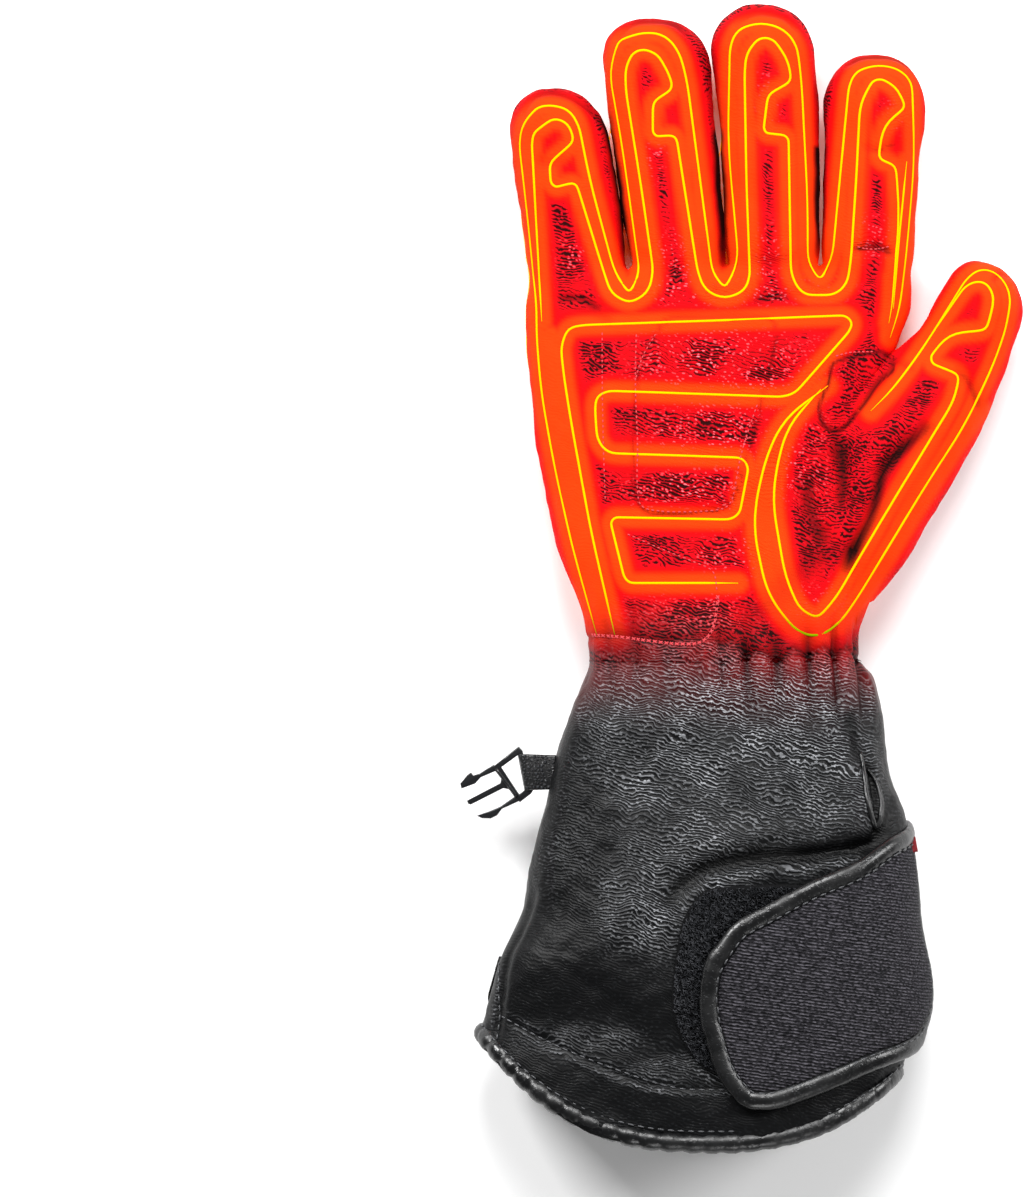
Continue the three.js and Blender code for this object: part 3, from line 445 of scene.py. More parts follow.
points = corners(hand)
edges = read_all(hand.data.edges, "vertices", 2, np.int64)
lines = points[sharp_corners(hand, 24)]
flat_rest = points[:, 2] < 0.05
x, y = points[:, 0], points[:, 1]
inside = (y > np.where(x > 25, -52, -30)) & (y < KNUCKLE_Y + 16) & ~flat_rest
soft = np.zeros(len(points))
soft[inside] = nearness(points[inside], lines, 7.0) ** 0.7
points = relax(points, edges, soft, 40)
thumb_root = lines[(lines[:, 0] > 22) & (lines[:, 1] < -8) & (lines[:, 1] > -53)]
reach_of = (points[:, 0] > 15) & (points[:, 1] < 0) & ~flat_rest
soft = np.zeros(len(points))
soft[reach_of] = nearness(points[reach_of], thumb_root, 19.0) ** 0.7 * smooth(-59, -53, points[reach_of, 1])
points = relax(points, edges, soft, 110)
place_corners(hand, points)
print("softened", int((soft > 0).sum()), "corners")

# %% [markdown]
# ## Drawing on the leather
# Folds, seams and heat lines are all drawn as short lines of points on the palm side or on the back,
# in millimetres across and along. The distance from each corner to such a line gives the depth of a
# fold, the lift of a seam, or how strongly the leather's painted glow shows.


# %% Distance to a drawn line
def curve_through(points, step=1.0, closed=False):
    """A smooth line through points, at even steps."""
    pts = np.array(points, float)
    if closed:
        pts = np.vstack([pts, pts[:1]])
    before = np.vstack([pts[-2] if closed else 2 * pts[0] - pts[1], pts[:-1]])
    after = np.vstack([pts[1:], pts[1] if closed else 2 * pts[-1] - pts[-2]])
    slopes = (after - before) / 2
    out = []
    for i in range(len(pts) - 1):
        length = np.linalg.norm(pts[i + 1] - pts[i])
        before_len = max(np.linalg.norm(pts[i] - before[i]), 1e-6)
        after_len = max(np.linalg.norm(after[i + 1] - pts[i + 1]), 1e-6)
        m0 = slopes[i] * min(1, 2 * length / (length + before_len))
        m1 = slopes[i + 1] * min(1, 2 * length / (length + after_len))
        t = np.linspace(0, 1, max(2, int(np.ceil(length / step)) + 1))[:-1, None]
        h = 2 * t**3 - 3 * t**2
        out.append((h + 1) * pts[i] + (t**3 - 2 * t**2 + t) * m0 - h * pts[i + 1] + (t**3 - t**2) * m1)
    if not closed:
        out.append(pts[-1:])
    return np.vstack(out)


def distance_to(xy, line, closed=False):
    """Distance, signed side and share along, from points to a line of points."""
    line = np.asarray(line, float)[:, :2]
    if closed:
        line = np.vstack([line, line[:1]])
    near = np.full(len(xy), 1e9)
    side = np.zeros(len(xy))
    share = np.zeros(len(xy))
    box = (xy[:, 0] > line[:, 0].min() - 25) & (xy[:, 0] < line[:, 0].max() + 25)
    box &= (xy[:, 1] > line[:, 1].min() - 25) & (xy[:, 1] < line[:, 1].max() + 25)
    some = xy[box]
    best, bside, bshare = near[box], side[box], share[box]
    for i in range(len(line) - 1):
        a, b = line[i], line[i + 1]
        along = b - a
        t = np.clip(((some - a) @ along) / max(along @ along, 1e-9), 0, 1)
        gap = some - a - t[:, None] * along
        far = np.hypot(gap[:, 0], gap[:, 1])
        closer = far < best
        best[closer] = far[closer]
        bside[closer] = np.sign(along[0] * gap[closer, 1] - along[1] * gap[closer, 0])
        bshare[closer] = (i + t[closer]) / (len(line) - 1)
    near[box], side[box], share[box] = best, bside, bshare
    return near, side, share


def fade(share, start=0.12, end=0.12):
    """Rises from 0 at a line's start and falls to 0 at its end."""
    rise = np.clip(share / max(start, 1e-6), 0, 1) if start else 1
    fall = np.clip((1 - share) / max(end, 1e-6), 0, 1) if end else 1
    return np.sqrt(rise * fall)


def waves(points, length, seed, count=14):
    """Soft random unevenness: many sine waves of about one length, in all directions."""
    rng = np.random.default_rng(seed)
    total = np.zeros(len(points))
    for _ in range(count):
        direction = rng.normal(size=3)
        direction *= 2 * np.pi / (np.linalg.norm(direction) * length * rng.uniform(0.7, 1.5))
        total += np.sin(points @ direction + rng.uniform(0, 2 * np.pi))
    return total / np.sqrt(count)


# %% [markdown]
# ## Folds and seams of the leather
# Each row of a table is one crease: its line, its depth and its width in millimetres. A negative
# depth makes a ridge. The palm's creases run round the base of the thumb, where the leather buckles,
# and across the finger roots. The back has its knuckle seam and padded knuckles. The cuff's leather is
# stiff, so it keeps a few long folds: one that arches over the strap, and one beside the little slit.

# %% Table of the hand's creases
PALM_CREASES = [
    (
        [
            (65.5, 14.8), (55.4, 5.9), (49.9, -0.8), (47.6, -9.8), (45.4, -16.4), (40.9, -25.4),
            (38.7, -33.2),
        ],
        2.4,
        2.6,
    ),
    ([(60, 16), (51, 9), (45, 0), (43, -12), (39, -24)], -1.3, 5.5),
    ([(37.6, 10.3), (37, 3.7), (37.6, -5.3), (37.2, -10.9), (37.6, -14.2)], 1.7, 2.6),
    ([(28.7, -0.8), (27.6, -9.7), (29.2, -16.4), (32, -23.1)], 1.2, 2.8),
    ([(33, 4), (32.5, -8), (34, -18)], -0.9, 3.0),
    ([(4.2, 137.3), (8.6, 140.7), (13.1, 141.5), (19.8, 139.9), (24.2, 135.7)], 0.8, 1.0),
    ([(-32.6, 132.9), (-27.1, 137.9), (-20.4, 138.8), (-13.7, 137.3), (-9.2, 132.3)], 0.8, 1.0),
    (
        [(-61.7, 108.9), (-58.3, 115), (-53.8, 116.9), (-48.3, 116.2), (-41.6, 112.3), (-36.6, 106.7)],
        0.9,
        1.0,
    ),
    ([(37.6, 124.6), (42.1, 127.3), (48.8, 128.4), (55.4, 127.3), (59.9, 123.4)], 0.7, 1.0),
    ([(40.5, 67.6), (42.1, 68.2), (47.6, 69), (52.1, 67.6), (54, 66.5)], 1.5, 1.2),
    ([(-51.1, 52.6), (-43.8, 53.1), (-39.4, 50.9), (-36, 49.8)], 1.1, 1.3),
    ([(-47, 49), (-40, 48.6), (-33, 46)], 0.6, 1.5),
    ([(8, 52.5), (16, 53.4), (26, 54.8)], 0.7, 2.2),
    ([(-22, 62), (-15, 60.5), (-8, 62)], 0.6, 2.4),
    ([(9, 66), (16, 64.5), (23, 66)], 0.6, 2.4),
    ([(-58, 96), (-53, 94.5), (-47, 96)], 0.5, 2.0),
    ([(44, 100), (49, 99), (55, 101)], 0.9, 1.1),
    ([(84, 58), (87, 61), (90.5, 60)], 0.8, 1.0),
    ([(72, 31), (76, 28), (79, 22), (80, 18)], 0.9, 1.4),
    ([(5.6, -47.7), (18, -39), (29, -28), (36, -20)], 0.7, 5.0),
]
BACK_CREASES = [
    (
        [(-58, 33.5), (-37, 39), (-25, 42.8), (-11, 40), (0, 40.3), (13.3, 37.2), (27, 36.3), (43, 31)],
        2.0,
        2.0,
    ),
    ([(-56, 27), (-36, 33), (-24, 36.5), (-10, 34), (1, 34), (14, 31), (28, 30), (43, 25)], -1.2, 4.0),
    ([(-38.4, 0.9), (-22.9, 4), (-10.2, 5), (0, 3.7), (13.3, -0.6)], 1.2, 1.4),
    ([(-55, 60), (-46, 61.5), (-37, 60)], 0.9, 1.6),
    ([(-24, 61), (-16, 62.5), (-7, 61)], 0.9, 1.6),
    ([(6, 61), (15, 62.5), (24, 61)], 0.9, 1.6),
    ([(36, 60), (46, 61.5), (55, 59)], 0.9, 1.6),
]
JOINT_PLEATS = [(-50, 84, 11), (-20.5, 96, 12), (13.5, 99, 12), (46.5, 88, 11)]
for x, y, half in JOINT_PLEATS:
    for k in (-3.2, 0, 3.2):
        pleat = [(x - half, y + k - 0.6), (x, y + k + 0.6), (x + half, y + k - 0.6)]
        BACK_CREASES.append((pleat, 0.9, 1.1))
# Painted shade: the dark gaps between the fingers, each line with its width and how dark it is.
GAP_SHADE_LINES = [
    ([(-36, 110), (-32, 92), (-28.2, 62)], 1.5, 0.95),
    ([(-0.9, 105.4), (0.2, 84), (0.9, 62)], 1.5, 0.95),
    ([(31, 101), (30.5, 84), (29.8, 65.4)], 1.5, 0.95),
    ([(49, 36), (54, 34), (60, 31)], 1.4, 0.5),
]
KNUCKLES = [(-44, 21, 10, 9), (-21.5, 25, 11, 10), (3, 24, 12, 10), (26.5, 20, 10, 10)]
PATCH = [
    (-14.8, 46.4), (14.8, 46.4), (16.6, 41.8), (11.3, 17.4), (7.7, 4.6), (4.5, -6.5), (-1, -12),
    (-21.4, -13.3), (-24.9, -10.4), (-26.4, -3.5), (-26.1, 18.6), (-24.3, 32.5), (-19.6, 41.7),
]
THUMB_TAB = [
    (30.9, 19.3), (32, 14.2), (35.4, 12.3), (39.3, 14.8), (48.8, 27.6), (53, 31.5), (49.5, 35.8),
    (35.4, 32.6), (33.7, 26.5),
]


# %% Table of the cuff's folds
CUFF_PALM = [
    (
        [
            (52.3, -101.2), (50.6, -110.4), (46, -115.6), (28.6, -118.5), (11.3, -119.7), (-3.7, -122.5),
            (-11.7, -127.7), (-18.7, -135.8),
        ],
        3.0,
        2.6,
    ),
    ([(48, -103), (40, -110), (26, -112.5), (9, -113.5), (-6, -117), (-15, -123)], -1.6, 5.5),
    ([(43, -92), (45.5, -91), (47.2, -95.8), (47.7, -108.2), (47, -113)], 2.0, 1.0),
    ([(41.5, -92), (42.6, -98), (43.6, -106)], -1.2, 1.6),
    ([(39, -74.7), (41, -82), (43.7, -90.8)], 1.8, 2.6),
    ([(-59, -129), (-62, -142), (-66, -154.3), (-69.4, -177)], 1.1, 1.2),
    (
        [
            (-67.7, -169.2), (-52.7, -176.7), (-29.1, -187.2), (-14.3, -190.3), (0, -190.3), (16, -189),
            (34, -185.5), (52, -178),
        ],
        0.55,
        1.0,
    ),
    ([(-40, -96), (-44, -120), (-50, -150)], 0.9, 9.0),
]
CUFF_BACK = [
    ([(-52, -95), (-40, -120), (-38, -150)], 0.9, 9.0),
    ([(42, -80), (46, -100), (50, -118)], 0.8, 6.0),
]

# %% [markdown]
# ## Moving the leather
# One function gives the lift of the leather anywhere on the glove, so that the hand and the cuff meet
# without a step. It also gives painted shade: how dark a place is painted in its creases, pleat
# valleys, finger gaps, the grooves beside the sewn patches and on the sides of the fingers.


# %% Relief of the leather
def inside_line(xy, line):
    """True for the points inside a closed line."""
    line = np.asarray(line)
    hit = np.zeros(len(xy), bool)
    for a, b in zip(line, np.roll(line, -1, axis=0)):
        crosses = (a[1] > xy[:, 1]) != (b[1] > xy[:, 1])
        x = a[0] + (xy[:, 1] - a[1]) * (b[0] - a[0]) / (b[1] - a[1] + 1e-12)
        hit ^= crosses & (xy[:, 0] < x)
    return hit


def wrist_seam(x):
    """Height of the elastic's seam across the wrist."""
    return -52.2 + 0.8 * np.cos(x * 0.19) - 4.5 * smooth(-8, 12, x)


PLEAT_PITCH = 8.8


def pleat_phase(points):
    x, y = points[:, 0], points[:, 1]
    return x * 2 * np.pi / PLEAT_PITCH + 0.8 * np.sin(x * 0.17) + 0.05 * (y - wrist_seam(x))


def pleat_points(points):
    """The zigzag edge where the gathered cuff meets the hand's leather."""
    x = points[:, 0]
    tall = (0.8 + 3.4 * smooth(-10, 0, x)) * (0.75 + 0.25 * np.sin(x * 0.31 + 1))
    wave = np.arccos(0.98 * np.cos(pleat_phase(points))) / np.pi
    return wrist_seam(x) + tall * (wave - 0.55)


def gathers(points, normal):
    """Pleats of the elastic: sharp valleys at the seam, which fade up and down, with painted shade in the
    valleys.
    """
    x, y = points[:, 0], points[:, 1]
    seam = wrist_seam(x)
    reach = np.where(y > seam, bell(y - seam, 8.0), bell(y - seam, 21.0))
    palm_part = 0.3 + 0.7 * smooth(-8, 2, x)
    on_palm, flat_part = normal[:, 2] > -0.15, 0.3 + 0.7 * smooth(0.05, 0.5, np.abs(normal[:, 2]))
    reach = reach * np.where(on_palm, palm_part, 1.0) * flat_part
    phase = pleat_phase(points)
    valley = (0.5 + 0.5 * np.cos(phase)) ** 2.4
    fine = 0.5 + 0.5 * np.cos(phase * 2.13 + 1.0)
    near_seam = bell(y - pleat_points(points), 1.1)
    groove = near_seam * (0.5 + 0.5 * palm_part)
    narrow = (0.5 + 0.5 * np.cos(phase)) ** 5
    point = bell(y - seam, np.where(y > seam, 5.5, 15.0)) * narrow * palm_part
    lift = reach * (1.0 - 3.3 * valley - 0.5 * fine) - 0.8 * groove
    # Painted shade: the groove at the seam and the narrow pleat valleys are painted darker.
    return lift, np.clip(0.45 * groove + 0.75 * point * np.where(on_palm, 1, 0.6), 0, 1)


def creased(points, normal, creases, facing):
    """Sum of the drawn creases on one side of the glove."""
    side = smooth(-0.1, 0.35, normal[:, 2] * facing)
    depth = np.zeros(len(points))
    for line, deep, wide in creases:
        near, _, share = distance_to(points[:, :2], curve_through(line))
        depth -= deep * bell(near, wide) * fade(share, 0.2, 0.2)
    return depth * side


def leather_relief(points, normal):
    folds = creased(points, normal, PALM_CREASES + CUFF_PALM, 1)
    folds = folds + creased(points, normal, BACK_CREASES + CUFF_BACK, -1)
    pleats, seam_shade = gathers(points, normal)
    relief = folds + pleats
    palm, back = smooth(0, 0.4, normal[:, 2]), smooth(0, 0.4, -normal[:, 2])
    for x, y, rx, ry in KNUCKLES:
        relief += back * 1.0 * np.exp(-(((points[:, 0] - x) / rx) ** 4 + ((points[:, 1] - y) / ry) ** 4))
    edges = np.zeros(len(points))
    for outline, lift in ((PATCH, 0.55), (THUMB_TAB, 0.8)):
        line = curve_through(outline, 1.0, closed=True)
        near, _, _ = distance_to(points[:, :2], line, closed=True)
        signed = np.where(inside_line(points[:, :2], line), near, -near)
        relief += palm * (lift * smooth(-0.5, 0.5, signed) - 0.35 * bell(signed + 0.6, 0.7))
        relief -= palm * 0.25 * bell(signed - 2.2, 0.6)
        edges = np.maximum(edges, palm * (0.55 if lift < 0.7 else 0.9) * bell(signed + 0.5, 0.75))
    on_cuff_part = smooth(-60, -80, points[:, 1])
    relief += (0.45 + 0.3 * on_cuff_part) * waves(points, 36, 3)
    relief += 0.22 * waves(points, 14, 4) + 0.08 * waves(points, 5, 5)
    # Painted shade: creases, the grooves beside the patches, the pleat valleys and the gaps between the
    # fingers are painted darker.
    painted_shade = np.clip(-folds / 1.7, 0, 1)
    painted_shade = np.maximum(painted_shade, np.maximum(edges, seam_shade))
    for line, wide, strength in GAP_SHADE_LINES:
        near, _, share = distance_to(points[:, :2], curve_through(line))
        painted_shade = np.maximum(painted_shade, strength * bell(near, wide) * fade(share, 0.02, 0.15))
    # Painted shade: the sides of the fingers, where they turn away from the light, are painted darker.
    fingers = smooth(70, 80, points[:, 1]) * smooth(0.75, 0.2, np.abs(normal[:, 2]))
    return relief, np.clip(painted_shade + 0.35 * fingers, 0, 1)


def fold_piece(piece, rest=0.0):
    """Moves a piece's corners by the relief, its lining with it, and keeps what rests on the surface."""
    points, normal = corners(piece), normals(piece)
    lined = {i for face in piece.data.polygons if face.material_index == 1 for i in face.vertices}
    inner_side = np.zeros(len(points), bool)
    inner_side[list(lined)] = True
    normal = np.where(inner_side[:, None], -normal, normal)
    lift, painted_shade = leather_relief(points, normal)
    resting = smooth(0.2, 5.0, points[:, 2])
    lift = lift * np.where(normal[:, 2] < -0.3, 0.25 + 0.75 * resting, 1)
    points = points + normal * lift[:, None]
    points[:, 2] = np.maximum(points[:, 2], rest)
    place_corners(piece, points)
    # The painted shade is kept for the leather's colour.
    keep(piece, "crease_shade", painted_shade)
    print(piece.name, "relief from", round(lift.min(), 1), "to", round(lift.max(), 1), "mm")


# %% [markdown]
# ## The gauntlet, and the hollow inside
# The cuff is one wide tube from the elastic to the hem. A glove is a bag: the inner form, a little
# smaller than the outer one, is cut out of it, so that the wall is real and the opening shows the
# lining. The folds come after that, and take the lining with them.


# %% Gauntlet, hollow, folds
def cuff_form(sides, rows, start, end, out=0.0):
    """The cuff's tube. Its first millimetres are tucked under the hand's leather."""

    def place(u, v):
        at = start + (end - start) * v
        return body_skin(at, turn(u), out - 0.7 * smooth(0.0, 0.022, at))

    return wrap("cuff_form", sides, rows, place)


gauntlet = cuff_form(int(340 * FINE), int(190 * FINE), 0.03, -1.0)
gauntlet.name = "leather_gauntlet"
inner = palm_form(64, 40, -WALL, -0.04)
combine(inner, [finger_form(i, 24, 20, -WALL) for i in range(4)] + [thumb_form(24, 24, -WALL)])
cuff_inner = cuff_form(96, 60, 0.08, -1.25, -WALL)
for piece in (inner, cuff_inner):
    for face in piece.data.polygons:
        face.material_index = 1
combine(hand, [inner], "DIFFERENCE")
combine(gauntlet, [cuff_inner], "DIFFERENCE")
fold_piece(hand, 0.3)
fold_piece(gauntlet)
print("hand", len(hand.data.polygons), "faces; gauntlet", len(gauntlet.data.polygons), "faces")

# %% [markdown]
# ## Heat lines
# The glove is shown switched on: its leather is painted with a red glow and emits light, though it is
# no lamp, with orange painted glow in bands along thin yellow heating lines. Each line is drawn as seen
# from the palm side or from the back. Corners of the leather keep how near they are to a line, which
# the leather's material turns into orange. Between the lines the leather stays red, with a black grain
# that is densest in the middle of each island.

# %% The heating lines of the palm side
OUTER_LOOP = [
    (-38.2, -51), (-46, -23.1), (-51.6, 2.5), (-55.5, 24.8), (-56.8, 41.5), (-56.8, 50.9), (-59.6, 78.8),
    (-62.2, 101.1), (-61.1, 107.2), (-56.6, 112.2), (-52.7, 112.8), (-47.1, 111.7), (-43.8, 106.7),
    (-40.5, 89.9), (-36, 73.2), (-32.7, 61), (-28.2, 54.3), (-24.8, 61), (-30.4, 101.1), (-34.3, 123.4),
    (-31.5, 132.9), (-23.7, 135.4), (-17, 134.5), (-12.6, 129), (-10.3, 120.1), (-2.5, 61), (1.4, 55.9),
    (5.8, 64.3), (2.5, 101.1), (3, 131.2), (5.3, 136.2), (12.5, 138.5), (19.8, 136.2), (23.7, 131.2),
    (25.1, 120.1), (27, 83.3), (27, 64.3), (30.9, 58.4), (34.8, 65.4), (37.6, 95.5), (39.8, 118.9),
    (42.1, 123.4), (48.8, 125.4), (55.4, 124), (59.3, 120.1), (60.1, 95.5), (57.7, 67.6), (55.6, 50.0),
    (52.6, 41.0),
]
INNER_LOOP = [
    (-55.2, 46), (-58.3, 101.1), (-57.7, 104.4), (-51.6, 108.9), (-47.1, 107.2), (-45.1, 101.7),
    (-52.9, 95), (-52.5, 88.8), (-51, 87.4), (-44.7, 89.1), (-36, 61), (-33.8, 54.3), (-28.2, 51.5),
    (-22.6, 54.3), (-20.6, 61), (-24.8, 89.9), (-29.3, 117.8), (-29.3, 124.5), (-27.1, 129), (-23.7, 130.1),
    (-19.3, 128.4), (-15.9, 122.3), (-14.6, 117.8), (-20.9, 113.9), (-20.9, 104.4), (-19.8, 103.1),
    (-13.7, 103.5), (-7, 61), (-4.8, 55.4), (1.4, 52.6), (7.5, 55.4), (9.2, 59.8), (8.1, 89.9),
    (7.5, 123.4), (8.1, 129), (12, 133.7), (16.4, 133.2), (20.9, 126.7), (22, 120.1), (14.7, 116.1),
    (13.4, 105.6), (14.2, 104.1), (19.8, 103.5), (21.1, 102.2), (21.8, 61), (23.7, 56.5), (26.5, 54),
    (35.4, 54), (39.3, 57.6), (40.4, 64.3), (42.1, 89.9), (43.2, 113.4), (47.1, 120.3), (49.9, 120.9),
    (54.3, 118.4), (57.5, 112.2), (50.4, 106.7), (48.8, 96.1), (54.3, 94.2), (55.4, 78.8), (53.2, 50.9),
    (52.2, 45.5),
]
INDEX_LINE = [(57.7, 95.5), (54.9, 67.6), (53.6, 50.0)]
THUMB_LOOP = [
    (46.5, 18.1), (53.2, 24.8), (63.2, 38.2), (72.2, 52.7), (76, 58.9), (80, 62), (84.6, 61.4),
    (88.3, 57.7), (89.7, 52.7), (88.3, 43.8), (84.4, 32.6), (75.5, 13.7), (64.4, -3.1), (42.1, -39.9),
    (36.5, -47.7), (29.8, -51.9), (23.1, -49.9), (14.2, -38.7), (10.3, -19.8), (10.8, -9.7), (14.2, 4.8),
    (19.8, 15.9), (33.1, 25.9),
]
THUMB_INNER = [
    (62.1, 37.2), (75.5, 56.5), (78.9, 58.2), (82.2, 57.6), (84.2, 54.3), (84.2, 50.9), (82.2, 43.1),
    (70.5, 42), (64.9, 34.9), (65.5, 32.6), (73.8, 29.3), (72.2, 21.5), (53.2, -9.7), (35.4, -39.9),
    (29.8, -46), (24.2, -43.2), (19.8, -33.2), (15.9, -9.7), (17.5, 2.5), (20.9, 13.7), (30.9, 24.8),
]
PALM_LINE = [
    (-32.7, -51), (-39.9, -19.8), (-46, 13.7), (-48.3, 28.2), (-49.4, 38.2), (-47.1, 43.8), (-42.7, 44.7),
    (-2.5, 46), (38.7, 47.7), (40.9, 45.5), (39.8, 42.7), (23.1, 23.7), (19.2, 22.4), (-34.9, 24.3),
    (-38.2, 22.6), (-38.8, 19.2), (-38.2, 9.2), (-34.9, 5), (6.4, 3.6), (8.6, 0.8), (5.8, -13.6),
    (3, -15.5), (-32.7, -14.8), (-34, -16.4), (-29.9, -33.2), (-28.2, -35.1), (5.3, -35.1),
]
HEAT_LINES = [OUTER_LOOP, INNER_LOOP, INDEX_LINE, THUMB_LOOP, THUMB_INNER, PALM_LINE]
BETWEEN = [
    [(-52.7, 41.5), (-51.4, 19.3), (-47.1, -3.1), (-41.6, -27.6), (-36, -49.9)],
    [
        (81.1, 18.8), (74, 9), (59, -14.8), (38.7, -48.2), (29.8, -49), (22, -43.6), (14.8, -35.8),
        (13.1, -15.1), (15.9, 3.3),
    ],
    [(53.5, 60), (52.5, 42)],
]

BACK_OUTER = [
    (-36.5, -50.7), (-41.5, -37.1), (-46.1, -22.5), (-51.5, -4.3), (-57.4, 22.9), (-60.2, 37.7),
    (-61.1, 58.6), (-62.2, 74.1), (-61.1, 88.7), (-58.8, 102.3), (-56.1, 107.3), (-49.7, 109.1),
    (-43.3, 107.3), (-40.9, 103.2), (-42, 94.1), (-43.5, 79.6), (-43.2, 56.8), (-42.4, 45.9), (-39, 43.2),
    (-35.6, 45.9), (-35.4, 90.5), (-33.3, 111.4), (-30.2, 124.1), (-24.3, 130.9), (-17, 132.9),
    (-11.1, 131.9), (-9.1, 128.7), (-10.6, 119.6), (-13.3, 102.3), (-12, 75), (-9.7, 51.4), (-6.5, 48),
    (-2.4, 50.5), (-2, 79.6), (0.3, 102.3), (3.9, 126.9), (8.5, 135.9), (16.7, 138.9), (23.9, 138.5),
    (27.4, 134.1), (25.3, 122.3), (22.6, 106.8), (20.8, 92.3), (21.2, 63.2), (22.6, 49.6), (26.7, 46.6),
    (30.3, 49.6), (33.9, 65.9), (35.8, 92.3), (38, 108.7), (40.8, 120.5), (44, 123.2), (50.3, 122.8),
    (57.6, 118.7), (60.6, 113.2), (57.6, 102.3), (55.8, 86.8), (55.3, 61.4), (56.2, 49.6), (58.3, 32),
    (56.7, 18.4), (52.1, -0.7), (46.7, -18), (43, -31.6), (40.3, -48),
]
BACK_INNER = [
    (-33.3, -48.9), (-37.4, -37.1), (-42.4, -22.5), (-47, -4.3), (-52.9, 22.9), (-55.4, 37.7),
    (-56.5, 49.6), (-58.1, 65.9), (-57.4, 81.4), (-55.2, 94.1), (-52, 100.5), (-47.9, 101.8), (-45.3, 99.6),
    (-46.1, 93.2), (-47.4, 90.9), (-52, 89.1), (-53.8, 83.2), (-53.8, 80.5), (-48.3, 79.8), (-47.9, 76.8),
    (-47.4, 52.3), (-45.6, 42.3), (-39.3, 38), (-33.3, 40.9), (-30.9, 45.9), (-30.9, 74.1), (-29.3, 102.3),
    (-26.1, 120.5), (-22.9, 125.5), (-18.8, 126.9), (-15.6, 123.7), (-16.5, 116.8), (-17.9, 114.6),
    (-22.4, 113.2), (-25, 109.6), (-25.2, 101.4), (-19.5, 100.5), (-18.8, 95.9), (-17, 74.1), (-15.2, 52.3),
    (-12.4, 45), (-6.5, 42.5), (0.3, 44.1), (3.9, 50.5), (3.5, 74.1), (4.4, 97.8), (6.7, 119.6),
    (10.3, 129.6), (15.8, 132.8), (20.1, 129.6), (19.4, 123.2), (18, 120.9), (12.1, 119.1), (9.7, 114.1),
    (9.4, 108.2), (15.9, 106.4), (15.3, 79.6), (16.7, 61.4), (18, 48.6), (21.2, 42.7), (26.2, 41.2),
    (32.1, 44.1), (34.4, 49.6), (37.1, 70.5), (39.9, 92.3), (42.6, 104.1), (46.7, 112.3), (50.3, 114.1),
    (54, 111.4), (54.4, 107.8), (53, 102.3), (47.6, 100.5), (45.3, 95.9), (46.2, 88.7), (52, 86.8),
    (50.8, 61.4), (52.6, 43.2), (53.3, 32), (51.7, 13.8), (46.7, -4.3), (41.2, -22.5), (38, -40.7),
    (37.1, -48),
]
BACK_LINE = [
    (-27, -35.7), (-17.9, -37.3), (-4.2, -38), (13, -38.2), (17.1, -35.3), (17.6, -29.8), (15.3, -25.7),
    (12.1, -24.9), (-14.2, -23), (-36.1, -21.6), (-39.3, -18.9), (-41.1, -5.3), (-40.2, -4.1),
    (-17.9, -5.3), (16.7, -8.2), (20.3, -6.6), (24.9, 4.8), (23.9, 9.3), (20.3, 10.7), (-8.8, 12.8),
    (-43.3, 11.6), (-44.7, 12.9), (-46.1, 27.5), (-45.2, 28.2), (-27, 31.6), (-5.2, 33.1), (9.4, 32.5),
    (27.6, 29.8), (44.4, 26.4), (44.9, 25.2), (35.8, 11.1), (29.4, -0.7), (26.2, -15.3), (25.9, -27.1),
    (29.4, -40.7),
]
THUMB_ROOM = 6.5
BACK_OUTER, BACK_INNER = [
    [(x - (THUMB_ROOM * bell(y - 30, 20) if x > 40 else 0), y) for x, y in line]
    for line in (BACK_OUTER, BACK_INNER)
]
BACK_LINES = [BACK_OUTER, BACK_INNER, BACK_LINE]
BACK_BETWEEN = [
    [(-36.1, -48.0), (-40.2, -35.3), (-44.7, -20.7), (-49.7, -2.5), (-55.2, 24.8), (-57.9, 44.8)],
    [(55.6, 47.5), (56.0, 32.0), (54.2, 15.7), (49.4, -2.5), (44.0, -20.7), (40.3, -36.2), (38.7, -48.0)],
]


def round_line(points, radius=1.6):
    """A line with straight runs and small round corners, as a wire is laid. Soft bends stay soft."""
    pts = np.array(points, float)
    out = [pts[:1]]
    for a, b, c in zip(pts[:-2], pts[1:-1], pts[2:]):
        into, away = a - b, c - b
        sharp = (into @ away) / (np.linalg.norm(into) * np.linalg.norm(away)) > -0.62
        reach = min(radius if sharp else 9, np.linalg.norm(into) * 0.48, np.linalg.norm(away) * 0.48)
        start, end = b + into / np.linalg.norm(into) * reach, b + away / np.linalg.norm(away) * reach
        t = np.linspace(0, 1, 5)[:, None]
        out.append((1 - t) ** 2 * start + 2 * t * (1 - t) * b + t**2 * end)
    out.append(pts[-1:])
    return np.vstack(out)


def line_for(points):
    """Straight runs with small round corners, at short steps."""
    line = round_line(points, 2.2)
    counts = [max(2, int(np.linalg.norm(b - a) / 1.5) + 1) for a, b in zip(line[:-1], line[1:])]
    steps = [np.linspace(a, b, count)[:-1] for a, b, count in zip(line[:-1], line[1:], counts)]
    return np.vstack(steps + [line[-1:]])


FAR = 25.0
RED_FADE, ORANGE_HALF, ISLAND_EDGE = (-92, -37), (1.7, 4.3), (3.2, 6.4)


def nearest(points, lines):
    """Distance from each corner to the nearest of some lines."""
    near = np.full(len(points), FAR)
    for line in lines:
        near = np.minimum(near, distance_to(points[:, :2], line_for(line))[0])
    return near


